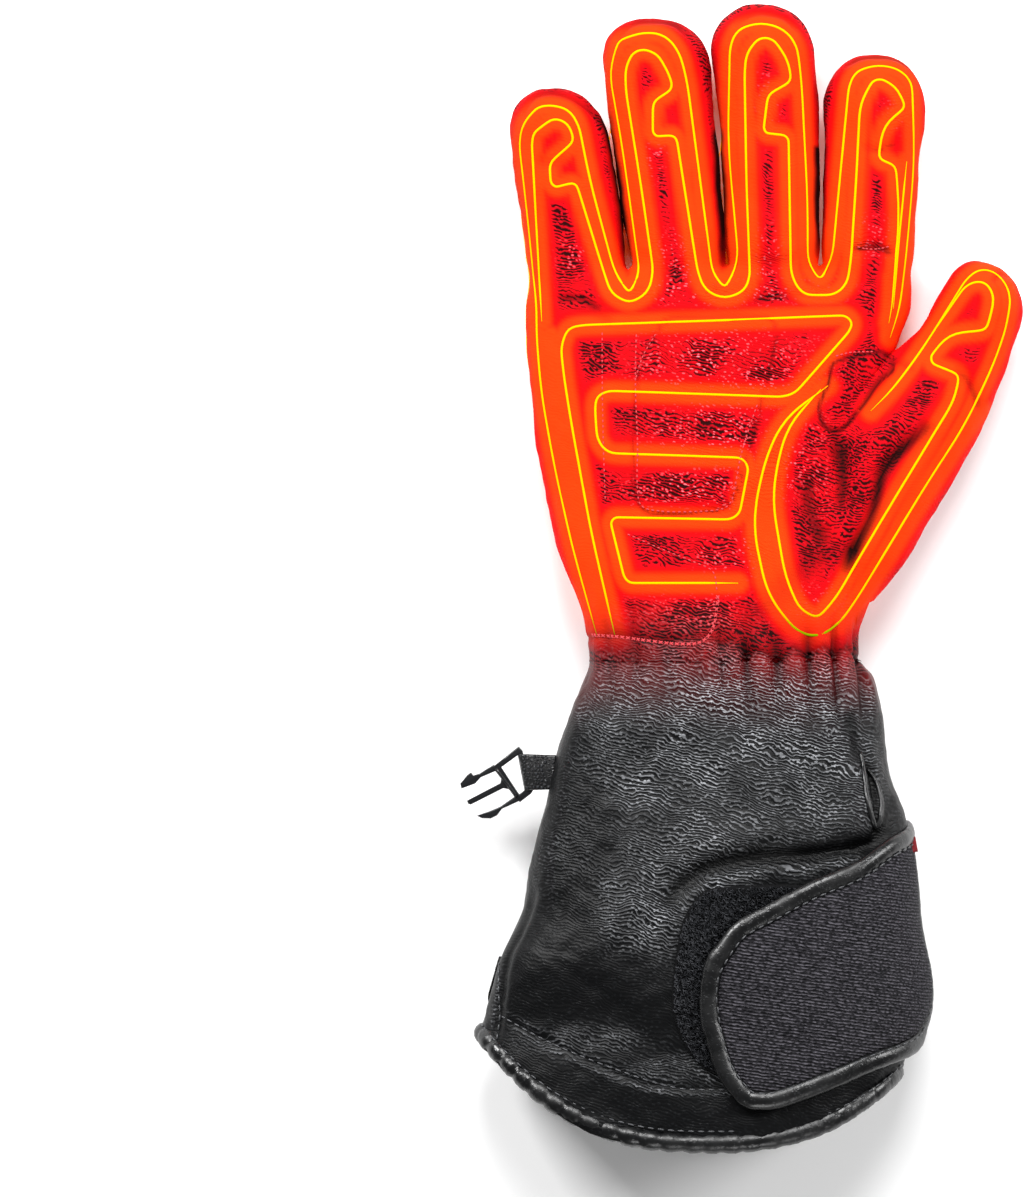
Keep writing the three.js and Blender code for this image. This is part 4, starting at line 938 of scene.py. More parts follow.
def paint_heat(piece):
    """Keeps how strong the red and the orange painted glow are, and how deep in an island each corner is,
    from 0 to 1.
    """
    points, normal = corners(piece), normals(piece)
    x, y = points[:, 0], points[:, 1]
    # Painted glow: red that fades out below the wrist, and orange bands near the lines.
    red = smooth(*RED_FADE, y + 2.0 * np.sin(x * 0.07) + 1.5 * waves(points, 30, 21)) ** 3.2
    palm_side = smooth(-0.4, -0.1, normal[:, 2])
    near = nearest(points, HEAT_LINES + BETWEEN) * palm_side
    near += nearest(points, BACK_LINES + BACK_BETWEEN) * (1 - palm_side)
    band = 1 - smooth(*ORANGE_HALF, near)
    band *= smooth(-56, -40, y) * 0.75 + 0.25 * smooth(-60, -52, y)
    keep(piece, "red_glow", red)
    keep(piece, "glow", band)
    keep(piece, "island", smooth(*ISLAND_EDGE, near) * smooth(-70, -40, y + 10))


paint_heat(hand)
paint_heat(gauntlet)
print("heat lines:", len(HEAT_LINES))

# %% [markdown]
# ## Finding the skin again
# Everything that is sewn or laid on the leather follows the finished surface. A ray from above (or
# from below, for the back) finds the height and the slope at a place on the glove.

# %% Rays on the finished leather
def skin_tree(*pieces):
    bm = bmesh.new()
    for piece in pieces:
        bm.from_mesh(piece.data)
    tree = BVHTree.FromBMesh(bm)
    bm.free()
    return tree


leather_tree = skin_tree(hand, gauntlet)


def on_skin(xy, facing=1, lift=0.0):
    """Points and normals on the leather under places in mm, seen from the palm side or the back."""
    found, slopes = [], []
    last = 0.015
    for x, y in np.asarray(xy)[:, :2]:
        hit = leather_tree.ray_cast(Vector((x * MM, y * MM, 0.2 * facing)), Vector((0, 0, -facing)))
        if hit[0] is None:
            hit = leather_tree.find_nearest(Vector((x * MM, y * MM, last)))
        last = hit[0].z
        out = hit[1] if hit[1].z * facing > 0 else -hit[1]
        found.append(np.array(hit[0]) / MM + np.array(out) * lift)
        slopes.append(np.array(out))
    return np.array(found), np.array(slopes)


# %% [markdown]
# ## Sweeping a section along a line
# Wires, bindings, cords and welts are all one section that travels along a line. The section's own
# up direction is the leather's normal, so a flat band lies flat wherever it goes.


# %% Sweep
def sweep(name, path, up, section, closed=False, sizes=None):
    """A tube along a path in mm. section is a closed loop of (across, up) pairs."""
    path, up, section = np.asarray(path, float), np.asarray(up, float), np.asarray(section, float)
    ahead = np.roll(path, -1, 0) - np.roll(path, 1, 0) if closed else np.gradient(path, axis=0)
    ahead = unit(ahead)
    across = unit(np.cross(ahead, up))
    over = np.cross(across, ahead)
    sizes = np.ones(len(path)) if sizes is None else np.asarray(sizes)
    count, rows = len(section), len(path)
    spans = rows if closed else rows - 1

    def place(u, v):
        i = np.rint(u * count).astype(int) % count
        j = np.rint(v * spans).astype(int) % rows
        offset = section[i] * sizes[j][:, None]
        return path[j] + across[j] * offset[:, :1] + over[j] * offset[:, 1:]

    return wrap(name, count, spans, place, closed=not closed)


def oval(half_width, half_height, sides):
    turns = np.arange(sides) * 2 * np.pi / sides
    return np.stack([half_width * np.cos(turns), half_height * np.sin(turns)], 1)


def upward(path):
    """Straight up, once for each point of a path."""
    return np.tile([0, 0, 1.0], (len(path), 1))


def join(name, parts):
    """One mesh from several pieces."""
    bm = bmesh.new()
    for part in parts:
        bm.from_mesh(part.data)
        bpy.data.objects.remove(part)
    return new_piece(name, bm)


strands = []
for facing, lines in ((1, HEAT_LINES), (-1, BACK_LINES)):
    for line in lines:
        path, up = on_skin(line_for(line), facing, 0.12 if facing > 0 else 0.08)
        smoothed = path.copy()
        smoothed[1:-1] = (path[:-2] + path[1:-1] * 2 + path[2:]) / 4
        steps = np.arange(len(path))
        taper = 0.3 + 0.7 * smooth(0, 7, np.minimum(steps, steps[::-1]))
        strands.append(sweep("strand", smoothed, up, oval(0.37, 0.19, 6), sizes=taper))
heat_wires = join("heat_lines", strands)
print("heat lines:", len(heat_wires.data.polygons), "faces")

# %% [markdown]
# ## Layers on the cuff
# The strap, its fuzzy tape and the pocket patch are flat pieces that are wrapped round the cuff. They
# are cut from the unrolled leather: across it goes with the length of the section, so that a piece
# can run over the side without stretching.


# %% Unroll and roll the cuff
TURNS = np.linspace(0.98 * np.pi, -0.46 * np.pi, 181)


def cuff_station(x, y):
    """Station and share across of places seen from above."""
    at = (y - WRIST_Y) / CUFF_LENGTH
    for _ in range(8):
        left, right, _, _ = body_frame(at)
        ex = np.clip((x - (left + right) / 2) / ((right - left) / 2), -1, 1)
        at = (y - WRIST_Y) / (CUFF_LENGTH - HEM_ARC * np.abs(ex - HEM_ARC_CENTRE) ** HEM_ARC_POWER)
    return at, ex


def unrolled(at, turns):
    ring = body_skin(at[:, None], np.broadcast_to(turns, (len(at), len(turns))), 3.0)
    steps = np.hypot(np.diff(ring[..., 0], axis=1), np.diff(ring[..., 2], axis=1))
    length = np.concatenate([np.zeros((len(at), 1)), np.cumsum(steps, axis=1)], axis=1)
    crown = np.argmin(np.abs(np.abs(turns) - np.pi / 2))
    return length - length[:, crown : crown + 1] + ring[:, crown, :1]


def to_roll(places, facing=1):
    """Places seen from above, in mm, to places on the unrolled cuff."""
    x, y = np.asarray(places, float).T
    at, ex = cuff_station(x, y)
    angle = np.arccos(np.sign(ex) * np.abs(ex) ** (BODY_SQUARE / 2)) * facing
    turns = TURNS * facing
    order = np.argsort(turns)
    lengths = unrolled(at, turns)
    return np.stack([[np.interp(a, turns[order], row[order]) for a, row in zip(angle, lengths)], y], 1)


def from_roll(places, facing=1):
    """Stations and angles on the cuff for places on the unrolled cuff."""
    s, y = np.asarray(places, float).T
    turns = TURNS * facing
    at = (y - WRIST_Y) / CUFF_LENGTH
    for _ in range(4):
        lengths = unrolled(at, turns)
        angle = np.array([np.interp(a, row, turns) for a, row in zip(s, lengths)])
        ex, _ = rounded(angle, BODY_SQUARE)
        at = (y - WRIST_Y) / (CUFF_LENGTH - HEM_ARC * np.abs(ex - HEM_ARC_CENTRE) ** HEM_ARC_POWER)
    return at, angle


def strap_bulge(at, angle):
    """The strap stands off the side low down, and lies close where it leaves the side at the top."""
    down = np.clip((-at - 0.42) / 0.46, 0, 1)
    low = smooth(-0.6, -0.86, at)
    return 2.6 * low * bell(angle, 0.5) * np.sin(np.pi * down**1.25) - 3.2 * (1 - low) * bell(angle, 0.62)


def area_in(line):
    """Area inside a closed line, negative where the line runs clockwise."""
    x, y = line.T
    return np.sum(x * np.roll(y, -1) - np.roll(x, -1) * y) / 2


def inset(line, amount):
    """A closed line moved inwards."""
    ahead = unit(np.roll(line, -1, 0) - np.roll(line, 1, 0))
    inward = np.stack([-ahead[:, 1], ahead[:, 0]], 1)
    return line + inward * amount * np.sign(area_in(line))


def lengths_of(line):
    """Length from a line's start to each of its points."""
    return np.concatenate([[0], np.cumsum(np.linalg.norm(np.diff(line, axis=0), axis=1))])


def at_lengths(line, length, at):
    """Places on a line at lengths from its start."""
    return np.stack([np.interp(at, length, column) for column in line.T], 1)


def even(line, count):
    """A closed line with points at equal steps."""
    ring = np.vstack([line, line[:1]])
    length = lengths_of(ring)
    return at_lengths(ring, length, np.linspace(0, length[-1], count, endpoint=False))


def panel(name, line, low, high, rings, relief, bulge=None, facing=1):
    """A thin closed layer on the cuff inside a closed line on the unrolled leather."""
    centre, count = line.mean(0), len(line)

    def place(u, v):
        i = np.rint(u * count).astype(int) % count
        top, under = np.clip(v / 0.5, 0, 1), np.clip((v - 0.56) / 0.44, 0, 1)
        radius = np.where(v < 0.53, top, 1 - under)
        where = centre + (line[i] - centre) * np.clip(radius, 0.0005, 1)[:, None]
        edge = smooth(0.5, 0.56, v)
        out = (high + relief(where, radius)) * (1 - edge) + low * edge
        at, angle = from_roll(where, facing)
        swell = out + (bulge(at, angle) if bulge else 0)
        return body_skin(at, angle, swell)

    return wrap(name, count, rings, place)


def on_cuff(line, out, bulge=None, facing=1):
    """A line on the unrolled cuff as points in space, with the way out of the leather."""
    at, angle = from_roll(line, facing)
    more = bulge(at, angle) if bulge else 0
    points = body_skin(at, angle, out + more)
    return points, unit(points - body_skin(at, angle, out + more - 1.0))


def from_pixels(places):
    """Pixels of the photograph to millimetres on the glove."""
    return [((x - ORIGIN_PIXEL[0]) * PIXEL, (ORIGIN_PIXEL[1] - y) * PIXEL) for x, y in places]


# %% [markdown]
# ## Closure strap
# A wide tongue comes round from the thumb side and lies on the fuzzy tape. It is a thick ribbed
# fabric with a glossy leather binding all round, and a stitch line runs inside the binding.

# %% Strap, its binding and the fuzzy tape
STRAP_EDGE = [
    (883, 836), (844, 861), (803, 879), (762, 902), (732, 920), (715, 940), (705, 959), (700, 983),
    (700, 1014), (705, 1044), (717, 1075), (736, 1100), (748, 1105), (773, 1104), (824, 1085), (864, 1067),
    (905, 1046),
]
strap_plan = to_roll(from_pixels(STRAP_EDGE))
high_side, mid_side, low_side = to_roll([(70, -118), (70, -140), (70, -168)])[:, 0]
ROUND_THE_SIDE = [
    (low_side + 2, -171), (low_side + 8, -163), (mid_side + 9, -140), (high_side + 10, -112),
    (high_side + 5, -108.5),
]
strap_points = np.vstack([strap_plan, ROUND_THE_SIDE])
strap_line = even(curve_through(strap_points, 1.0, closed=True), int(220 * FINE))
STRAP_FOLD = [(903, 832), (914, 870), (922, 910), (929, 950), (935, 985)]
fold_line = curve_through(to_roll(from_pixels(STRAP_FOLD)), 2.0)


def flat_waves(where, length, seed, count=14):
    """Soft unevenness on the unrolled leather."""
    return waves(np.column_stack([where, np.zeros(len(where))]), length, seed, count)


def strap_relief(where, radius):
    near, _, share = distance_to(where, fold_line)
    sag = -0.9 * bell(near, 1.6) * fade(share, 0.1, 0.1)
    rim, _, _ = distance_to(where, strap_line, closed=True)
    crown = 0.5 * (1 - radius**4) - 1.3 * smooth(6.4, 4.6, rim)
    return sag + crown + 0.18 * flat_waves(where, 28, 31)


CUT_IN, BIND_IN, STITCH_IN = 1.2, 2.9, 5.1
PANEL_UNDER, PANEL_TOP, BIND_LIFT, STITCH_LIFT = 2.2, 4.1, 3.45, 4.75
strap_rings = int(64 * FINE)
cut_line = inset(strap_line, CUT_IN)
closure_strap = panel(
    "strap_panel", cut_line, PANEL_UNDER, PANEL_TOP, strap_rings, strap_relief, strap_bulge
)
bind_line = inset(strap_line, BIND_IN)
bind_path, bind_up = on_cuff(bind_line, BIND_LIFT, strap_bulge)
rng = np.random.default_rng(11)
pinch = 1 + 0.02 * np.sin(np.arange(len(bind_line)) * 1.7) + 0.012 * rng.normal(size=len(bind_line))
bind_section = oval(3.0, 1.7, 16)
bind_section[:, 1] = np.where(bind_section[:, 1] > 0, bind_section[:, 1] * 1.15, bind_section[:, 1])
strap_binding = sweep("strap_binding_roll", bind_path, bind_up, bind_section, closed=True, sizes=pinch)

TAPE_EDGE = [
    (707, 887), (692, 900), (681, 922), (674, 963), (671, 993), (673, 1014), (685, 1044), (703, 1065),
    (740, 1075), (800, 1070), (840, 1040), (850, 960), (840, 900), (800, 884), (762, 883),
]
tape_line = even(curve_through(to_roll(from_pixels(TAPE_EDGE)), 1.0, closed=True), int(160 * FINE))


def tape_relief(where, _):
    return 0.16 * flat_waves(where, 2.2, 41, 20) + 0.1 * flat_waves(where, 9, 42)


TAPE_UNDER, TAPE_TOP = 0.15, 0.9
loop_tape = panel("fuzzy_tape", tape_line, TAPE_UNDER, TAPE_TOP, int(60 * FINE), tape_relief)

# %% [markdown]
# ## Hem binding
# A strip of thin glossy leather is folded over the hem, inside and out, and stitched. It is a round
# roll that pinches in where the stitches pull it, more on the left half.

# %% Hem binding
HEM_IN, HEM_PINCH_PITCH, HEM_LEVEL, HEM_LOWEST = 1.75, 6.3, 3.2, 0.35
hem_turns = np.linspace(0, 2 * np.pi, int(420 * FINE), endpoint=False)


def ring_at(from_hem, out, reach):
    """A ring on the cuff at a distance from the hem, with the way out of the leather."""
    at = np.full(len(hem_turns), -1 + from_hem / CUFF_LENGTH)
    ring = body_skin(at, hem_turns, out)
    return ring, unit(body_skin(at, hem_turns, out + reach) - ring)


hem_path, hem_up = ring_at(HEM_IN, -WALL / 2, 2.0)
hem_length = lengths_of(hem_path)
left_half = smooth(30, -20, hem_path[:, 0])
hem_beat = (0.5 + 0.5 * np.cos(hem_length * 2 * np.pi / HEM_PINCH_PITCH)) ** 3
hem_pinch = 1 - (0.06 + 0.13 * left_half) * hem_beat
hem_pinch += 0.03 * np.sin(hem_length * 0.21) + 0.015 * rng.normal(size=len(hem_path))
hem_path[:, 2] = np.maximum(hem_path[:, 2], HEM_LEVEL)
hem_section = oval(3.25, 3.05, 14)
hem_binding = sweep("hem_binding_roll", hem_path, hem_up, hem_section, closed=True, sizes=hem_pinch)
points = corners(hem_binding)
points[:, 2] = np.maximum(points[:, 2], HEM_LOWEST)
place_corners(hem_binding, points)
print("faces:", [(piece.name, len(piece.data.polygons)) for piece in (closure_strap, loop_tape, hem_binding)])

# %% [markdown]
# ## Stitches
# A stitch is a short bead of thread half sunk in the leather. Rows of them run round the palm patch,
# along the wrist, inside the strap's binding and above the hem. A row is made of small balls that are
# stretched along the seam.


# %% Rows of stitches
def along_line(line, pitch, closed=False):
    """Places at an even pitch on a line, with the way ahead."""
    ring = np.vstack([line, line[:1]]) if closed else np.asarray(line, float)
    length = lengths_of(ring)
    at = np.arange(pitch / 2, length[-1], pitch)
    ahead = at_lengths(ring, length, at + 0.4) - at_lengths(ring, length, at - 0.4)
    return at_lengths(ring, length, at), unit(ahead)


def many(name, count, sides, rows, place):
    """Many small tubes at once: one long grid is cut between the tubes, then every corner is placed."""
    bm = bmesh.new()
    bmesh.ops.create_grid(bm, x_segments=sides, y_segments=count * (rows + 1) - 1, size=1)
    flat = np.array([v.co for v in bm.verts])
    row = np.rint((flat[:, 1] + 1) / 2 * (count * (rows + 1) - 1)).astype(int)
    points = place(row // (rows + 1), (flat[:, 0] + 1) / 2, (row % (rows + 1)) / rows) * MM
    gaps = [f for f in bm.faces if min(row[v.index] for v in f.verts) % (rows + 1) == rows]
    bmesh.ops.delete(bm, geom=gaps, context="FACES")
    for vert, point in zip(bm.verts, points):
        vert.co = point
    close_up(bm)
    return new_piece(name, bm)


def stitch_row(path, up, pitch=3.2, length=2.2, width=0.62, closed=False, slant=0.0):
    """Where a row's stitches are: middle, way ahead, way across and way up, each already sized."""
    here, ahead = along_line(np.hstack([path, up]), pitch, closed)
    middle, x_way, z_way = here[:, :3], ahead[:, :3], here[:, 3:]
    x_way = unit(unit(x_way) + unit(np.cross(z_way, x_way)) * slant)
    y_way = np.cross(z_way, x_way)
    z_way = np.cross(x_way, y_way)
    return np.stack([middle, x_way * length / 2, y_way * width / 2, z_way * width / 2], 1)


def stitches(name, rows_of):
    """One piece from rows of stitches: each is a ball that is stretched along its seam."""
    frames = np.vstack(rows_of)

    def place(item, u, v):
        high, wide = np.sin(np.pi * (v - 0.5)), np.cos(np.pi * (v - 0.5))
        ball = np.stack([high, wide * np.cos(turn(u)), wide * np.sin(turn(u))], 1)
        return frames[item, 0] + np.einsum("nk,nkj->nj", ball, frames[item, 1:])

    return many(name, len(frames), 7, 5, place)


HOT_ROWS = [
    (
        [
            (636, 334), (635, 380), (637, 440), (637, 490), (641, 506), (655, 511), (690, 512), (722, 509),
            (731, 500), (741, 452), (756, 406),
        ],
        1.7,
        1.0,
        0.55,
    ),
    ([(656, 334), (643, 356), (635, 380)], 1.7, 1.0, 0.5),
    ([(602, 332), (602, 380), (603, 440), (605, 500)], 1.7, 1.0, 0.45),
    ([(626, 534), (660, 549), (695, 563), (712, 572), (716, 592)], 1.7, 1.0, 0.5),
    ([(834, 357), (850, 353), (874, 352)], 1.5, 1.0, 0.55),
    ([(856, 247), (872, 250), (888, 247)], 1.5, 1.0, 0.55),
]
BRAID = [(592, 635), (620, 637), (650, 641), (680, 644), (700, 642), (711, 630), (716, 606), (717, 592)]
STITCH_SUNK = 0.1
rows_of = []
for line, pitch, length, width in HOT_ROWS:
    path, up = on_skin(curve_through(from_pixels(line)), 1, STITCH_SUNK)
    rows_of.append(stitch_row(path, up, pitch, length, width))
path, up = on_skin(curve_through(from_pixels(BRAID)), 1, STITCH_SUNK)
for slant in (0.7, -0.7):
    rows_of.append(stitch_row(path, up, 1.9, 1.7, 0.6, slant=slant))
hot_stitches = stitches("palm_stitches", rows_of)

stitch_line = even(inset(strap_line, STITCH_IN), 400)
path, up = on_cuff(stitch_line, STITCH_LIFT, strap_bulge)
rows_of = [stitch_row(path, up, 3.1, 2.1, 0.6, closed=True)]
CUFF_ROWS = [
    [(501, 1014), (550, 1040), (613, 1065), (674, 1084), (720, 1086), (745, 1084)],
    [(499, 960), (499, 990), (500, 1015), (497, 1038)],
]
for line in CUFF_ROWS:
    path, up = on_skin(curve_through(from_pixels(line)), 1, STITCH_SUNK)
    rows_of.append(stitch_row(path, up, 3.0, 2.0, 0.6))
HEM_ROW = 5.4
for shift in (0.4, -WALL - 0.4):
    ring, way = ring_at(HEM_ROW, shift, 1.0)
    ring[:, 2] = np.maximum(ring[:, 2], 1.2)
    rows_of.append(stitch_row(ring, way * np.sign(shift), 3.1, 2.1, 0.6, closed=True))
cuff_stitches = stitches("cuff_stitches", rows_of)
print("stitches:", len(hot_stitches.data.polygons) + len(cuff_stitches.data.polygons), "faces")

# %% [markdown]
# ## Clip and webbing
# A small side-release clip hangs from the little finger's side, to hang the glove up. It is one moulded
# part: a slotted frame, two springy arms with barbs, and a guide between them. A flat filled curve is
# the quick way to such a plate, because it can be given a thickness and a rounded edge.


# %% Plates from flat outlines
def droop(x):
    """Height of the hanging webbing and clip, in mm."""
    return 23.0 + 0.15 * (x + 60)


def plate(name, outlines, half, edge):
    """A plate in mm from closed outlines (further ones are holes), at the height that the clip hangs."""
    flat = bpy.data.curves.new(name, "CURVE")
    flat.dimensions, flat.fill_mode = "2D", "BOTH"
    flat.extrude, flat.bevel_depth, flat.bevel_resolution = half - edge, edge, 2
    for outline in outlines:
        spline = flat.splines.new("POLY")
        spline.points.add(len(outline) - 1)
        for point, (x, y) in zip(spline.points, outline):
            point.co = (x, y, 0, 1)
        spline.use_cyclic_u = True
    drawn = bpy.data.objects.new(name + "_outline", flat)
    bpy.context.collection.objects.link(drawn)
    bpy.context.view_layer.update()
    mesh = bpy.data.meshes.new_from_object(drawn.evaluated_get(bpy.context.evaluated_depsgraph_get()))
    bpy.data.objects.remove(drawn)
    bm = bmesh.new()
    bm.from_mesh(mesh)
    bmesh.ops.remove_doubles(bm, verts=bm.verts[:], dist=1e-4)
    for vert in bm.verts:
        vert.co.z += droop(vert.co.x)
        vert.co *= MM
    bmesh.ops.recalc_face_normals(bm, faces=bm.faces[:])
    return new_piece(name, bm)


def inside_edge(outline, amount):
    """The outline moved in by the rounded edge, which grows out again."""
    return [tuple(p) for p in inset(np.array(outline, float), amount)]


FRAME_OUTER = [
    (-70.1, -91.9), (-62.6, -85.8), (-61.2, -87.0), (-57.9, -99.0), (-58.6, -100.3), (-61.9, -102.8),
    (-63.4, -101.8),
]
FRAME_SLOT = [(-67.9, -92.0), (-62.6, -88.0), (-59.7, -98.7), (-62.1, -100.7)]
ARM_TOP = [
    (-70.2, -91.4), (-69.4, -93.2), (-74.2, -95.3), (-75.9, -97.2), (-80.0, -98.7), (-80.5, -97.2),
    (-78.3, -94.5), (-77.2, -93.8), (-76.5, -94.7), (-74.5, -94.0),
]
GUIDE = [
    (-67.4, -94.8), (-68.0, -97.0), (-78.3, -102.4), (-78.1, -103.4), (-77.2, -103.7), (-67.2, -98.6),
    (-65.6, -98.9), (-64.2, -99.6),
]
ARM_LOW = [
    (-63.6, -101.2), (-68.1, -104.3), (-70.9, -105.5), (-74.9, -107.0), (-73.8, -107.9), (-71.1, -108.0),
    (-69.1, -107.0), (-67.6, -105.0), (-62.4, -102.6),
]
clip_parts = [plate("frame", [inside_edge(FRAME_OUTER, 0.35), inside_edge(FRAME_SLOT, -0.35)], 1.3, 0.35)]
for name, outline, half in (("arm_top", ARM_TOP, 1.0), ("guide", GUIDE, 0.8), ("arm_low", ARM_LOW, 1.0)):
    clip_parts.append(plate(name, [inside_edge(outline, 0.25)], half, 0.25))
BARS = (((-69.3, -92.6), (-62.9, -101.2)), ((-60.6, -88.6), (-58.6, -98.9)))
for start, end in BARS:
    steps = np.linspace(0, 1, 9)[:, None]
    path = np.array(start) * (1 - steps) + np.array(end) * steps
    path = np.column_stack([path, droop(path[:, 0]) + 0.25])
    clip_parts.append(sweep("bar", path, upward(path), oval(0.75, 1.5, 10)))
clip = join("side_release_clip", clip_parts)

WEB_HALF, WEB_THICK = 1.75, 0.0008
WEB_CORNERS = ((-62.4, -88.0), (-50.9, -88.4)), ((-60.3, -99.2), (-51.8, -98.9))


def web_layer(side_of):
    """One layer of the webbing's loop: it bends in to its nose at the clip."""

    def place(u, v):
        high, low = (np.outer(1 - u, start) + np.outer(u, end) for start, end in WEB_CORNERS)
        flat = high * (1 - v)[:, None] + low * v[:, None]
        nose = np.sqrt(np.clip(1 - (1 - np.clip(u / 0.16, 0, 1)) ** 2, 0, 1))
        crown = 0.35 * np.sin(np.pi * v) * smooth(0, 0.4, u)
        return np.column_stack([flat, droop(flat[:, 0]) + side_of * (WEB_HALF * nose + crown)])

    return wrap("web_layer", 30, 17, place, closed=False)


web_parts = [web_layer(side_of) for side_of in (1, -1)]
webbing = join("clip_webbing", web_parts)
thick = webbing.modifiers.new("thick", "SOLIDIFY")
thick.thickness, thick.offset = WEB_THICK, 0
print("clip", len(clip.data.polygons), "webbing", len(webbing.data.polygons), "faces")

# %% [markdown]
# ## Fuzzy loops
# The soft half of a touch fastener is a felt of tiny loops. Where it shows beside the strap, real
# little loops of thread stand on it, each turned its own way.

# %% Loops on the tape
rng = np.random.default_rng(77)
low, top = tape_line.min(0), tape_line.max(0)
LOOP_COUNT = 20000
spots = rng.uniform(low, top, size=(int(LOOP_COUNT * FINE**2), 2))
spots = spots[inside_line(spots, inset(tape_line, 0.8)) & ~inside_line(spots, inset(strap_line, 2.0))]
spot_points, spot_up = on_cuff(spots, 1.15)
loop_turn, loop_lean = rng.uniform(0, np.pi, len(spots)), rng.uniform(-0.6, 0.6, len(spots))
loop_size = rng.uniform(0.4, 0.75, len(spots))
side_way = np.stack([np.cos(loop_turn), np.sin(loop_turn), 0 * loop_turn], 1)
side_way = unit(side_way - spot_up * np.sum(side_way * spot_up, axis=1)[:, None])
flat_way = np.cross(spot_up, side_way)
tall_way = spot_up * np.cos(loop_lean)[:, None] + flat_way * np.sin(loop_lean)[:, None]


def loop_place(item, u, v):
    radius = loop_size[item] * (0.6 + 0.4 * v)
    wide = side_way[item] * (radius * np.cos(turn(u)))[:, None]
    tall = tall_way[item] * (radius * np.sin(turn(u)))[:, None]
    return spot_points[item] + (wide + tall) + flat_way[item] * (0.12 * v)[:, None]


tape_loops = many("fuzzy_loops", len(spots), 8, 1, loop_place)
print("loops:", len(spots), "with", len(tape_loops.data.polygons), "faces")

# %% [markdown]
# ## Back of the cuff
# The back is what the glove lies on. It has a zipped pocket under a sewn patch, the square control
# with its button, and the zip's pull: a loop of cord with a folded tab.

# %% Pocket patch and zip pull
PATCH_EDGE = [
    (-1.04, 0.61), (-0.85, 0.66), (-0.46, 0.73), (0.02, 0.757), (0.6, 0.735), (0.66, 0.75), (0.66, 0.79),
    (0.42, 0.838), (-0.12, 0.86), (-0.6, 0.805), (-0.85, 0.745), (-1.04, 0.685),
]
patch_plan = [(CUFF_SHIFT + x * CUFF_WIDTH / 2, WRIST_Y - y * CUFF_LENGTH) for x, y in PATCH_EDGE]
patch_line = even(curve_through(to_roll(patch_plan, -1), 1.0, closed=True), int(150 * FINE))


PATCH_STITCH_IN = 3.0


def patch_relief(where, _):
    near, _, _ = distance_to(where, inset(patch_line, PATCH_STITCH_IN), closed=True)
    return 0.12 * flat_waves(where, 12, 61) - 0.3 * bell(near, 0.8)


PATCH_UNDER, PATCH_TOP = 0.25, 1.35
pocket_patch = panel(
    "pocket_patch_leather", patch_line, PATCH_UNDER, PATCH_TOP, int(36 * FINE), patch_relief, facing=-1
)
path, up = on_cuff(even(inset(patch_line, PATCH_STITCH_IN), 300), 1.2, facing=-1)
pocket_stitches = stitches("pocket_stitches", [stitch_row(path, up, 3.0, 2.0, 0.55, closed=True)])


PULL_PLACE = (15.9, -194.2, 1.6)
loop_turns = np.linspace(0, 2 * np.pi, 40, endpoint=False)
c, s = np.cos(loop_turns), np.sin(loop_turns)
loop_path = PULL_PLACE + np.stack([5.2 * c, 2.1 * s, 0.35 * c], 1)
zip_cord = sweep("zip_cord", loop_path, upward(loop_path), oval(0.5, 0.5, 8), closed=True)


TAB_START, TAB_LENGTH, TAB_WIDTH = -17.2, 31.4, 8.4


def top_leaf(u, v):
    """The leather tab's upper leaf, a little rounded and uneven."""
    narrower = 1 - 0.25 * smooth(0.86, 1.0, u)
    y = PULL_PLACE[1] + (v - 0.5) * TAB_WIDTH * narrower + 0.25 * np.sin(u * 9)
    ends = np.sqrt(np.clip(1 - np.abs(2 * u - 1) ** 9, 0, 1))
    z = 1.45 + 0.95 * ends * (0.8 + 0.2 * np.sin(np.pi * v)) + 0.08 * np.sin(u * 40)
    return np.column_stack([TAB_START + TAB_LENGTH * u, y, z])


def under_leaf(u, v):
    return top_leaf(u, v) * [1, 1, -1] + [0, 0, 2.95]


leaves = [wrap("leaf", int(60 * FINE), 16, leaf, closed=False) for leaf in (top_leaf, under_leaf)]
folded_tab = join("folded_tab", leaves)
bm = bmesh.new()
bm.from_mesh(folded_tab.data)
bmesh.ops.remove_doubles(bm, verts=bm.verts[:], dist=2e-5)
bridge = [e for e in bm.edges if e.is_boundary]
bmesh.ops.bridge_loops(bm, edges=bridge)
bmesh.ops.recalc_face_normals(bm, faces=bm.faces[:])
bm.to_mesh(folded_tab.data)
bm.free()

# %% [markdown]
# ## Control
# The button's place bears a plain power symbol, a ring that is open at the top with a bar in it, as on
# countless devices. It is moulded, and stands a little proud of the button.

# %% Power symbol on the button
button_low, button_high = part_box("heat_button")
button_middle = [(a + b) / 2 / MM for a, b in zip(button_low, button_high)]
ring_turns = np.radians(np.linspace(90 + 35, 90 + 325, 40))
ring_path = np.stack([3.6 * np.cos(ring_turns), 3.6 * np.sin(ring_turns), 0 * ring_turns], 1)
bar_path = np.array([[0, y, 0] for y in np.linspace(0.8, 4.6, 6)])
symbol_place = [button_middle[0], button_middle[1], 0.42]
symbol = join("power_symbol", [
    sweep("stroke", path + symbol_place, upward(path), oval(0.45, 0.22, 8)) for path in (ring_path, bar_path)
])

# %% [markdown]
# ## Slit and side tag
# Above the strap the side seam opens in a short slit with a shiny rolled edge. A tiny red tag is
# caught in the strap's edge. It is left plain.

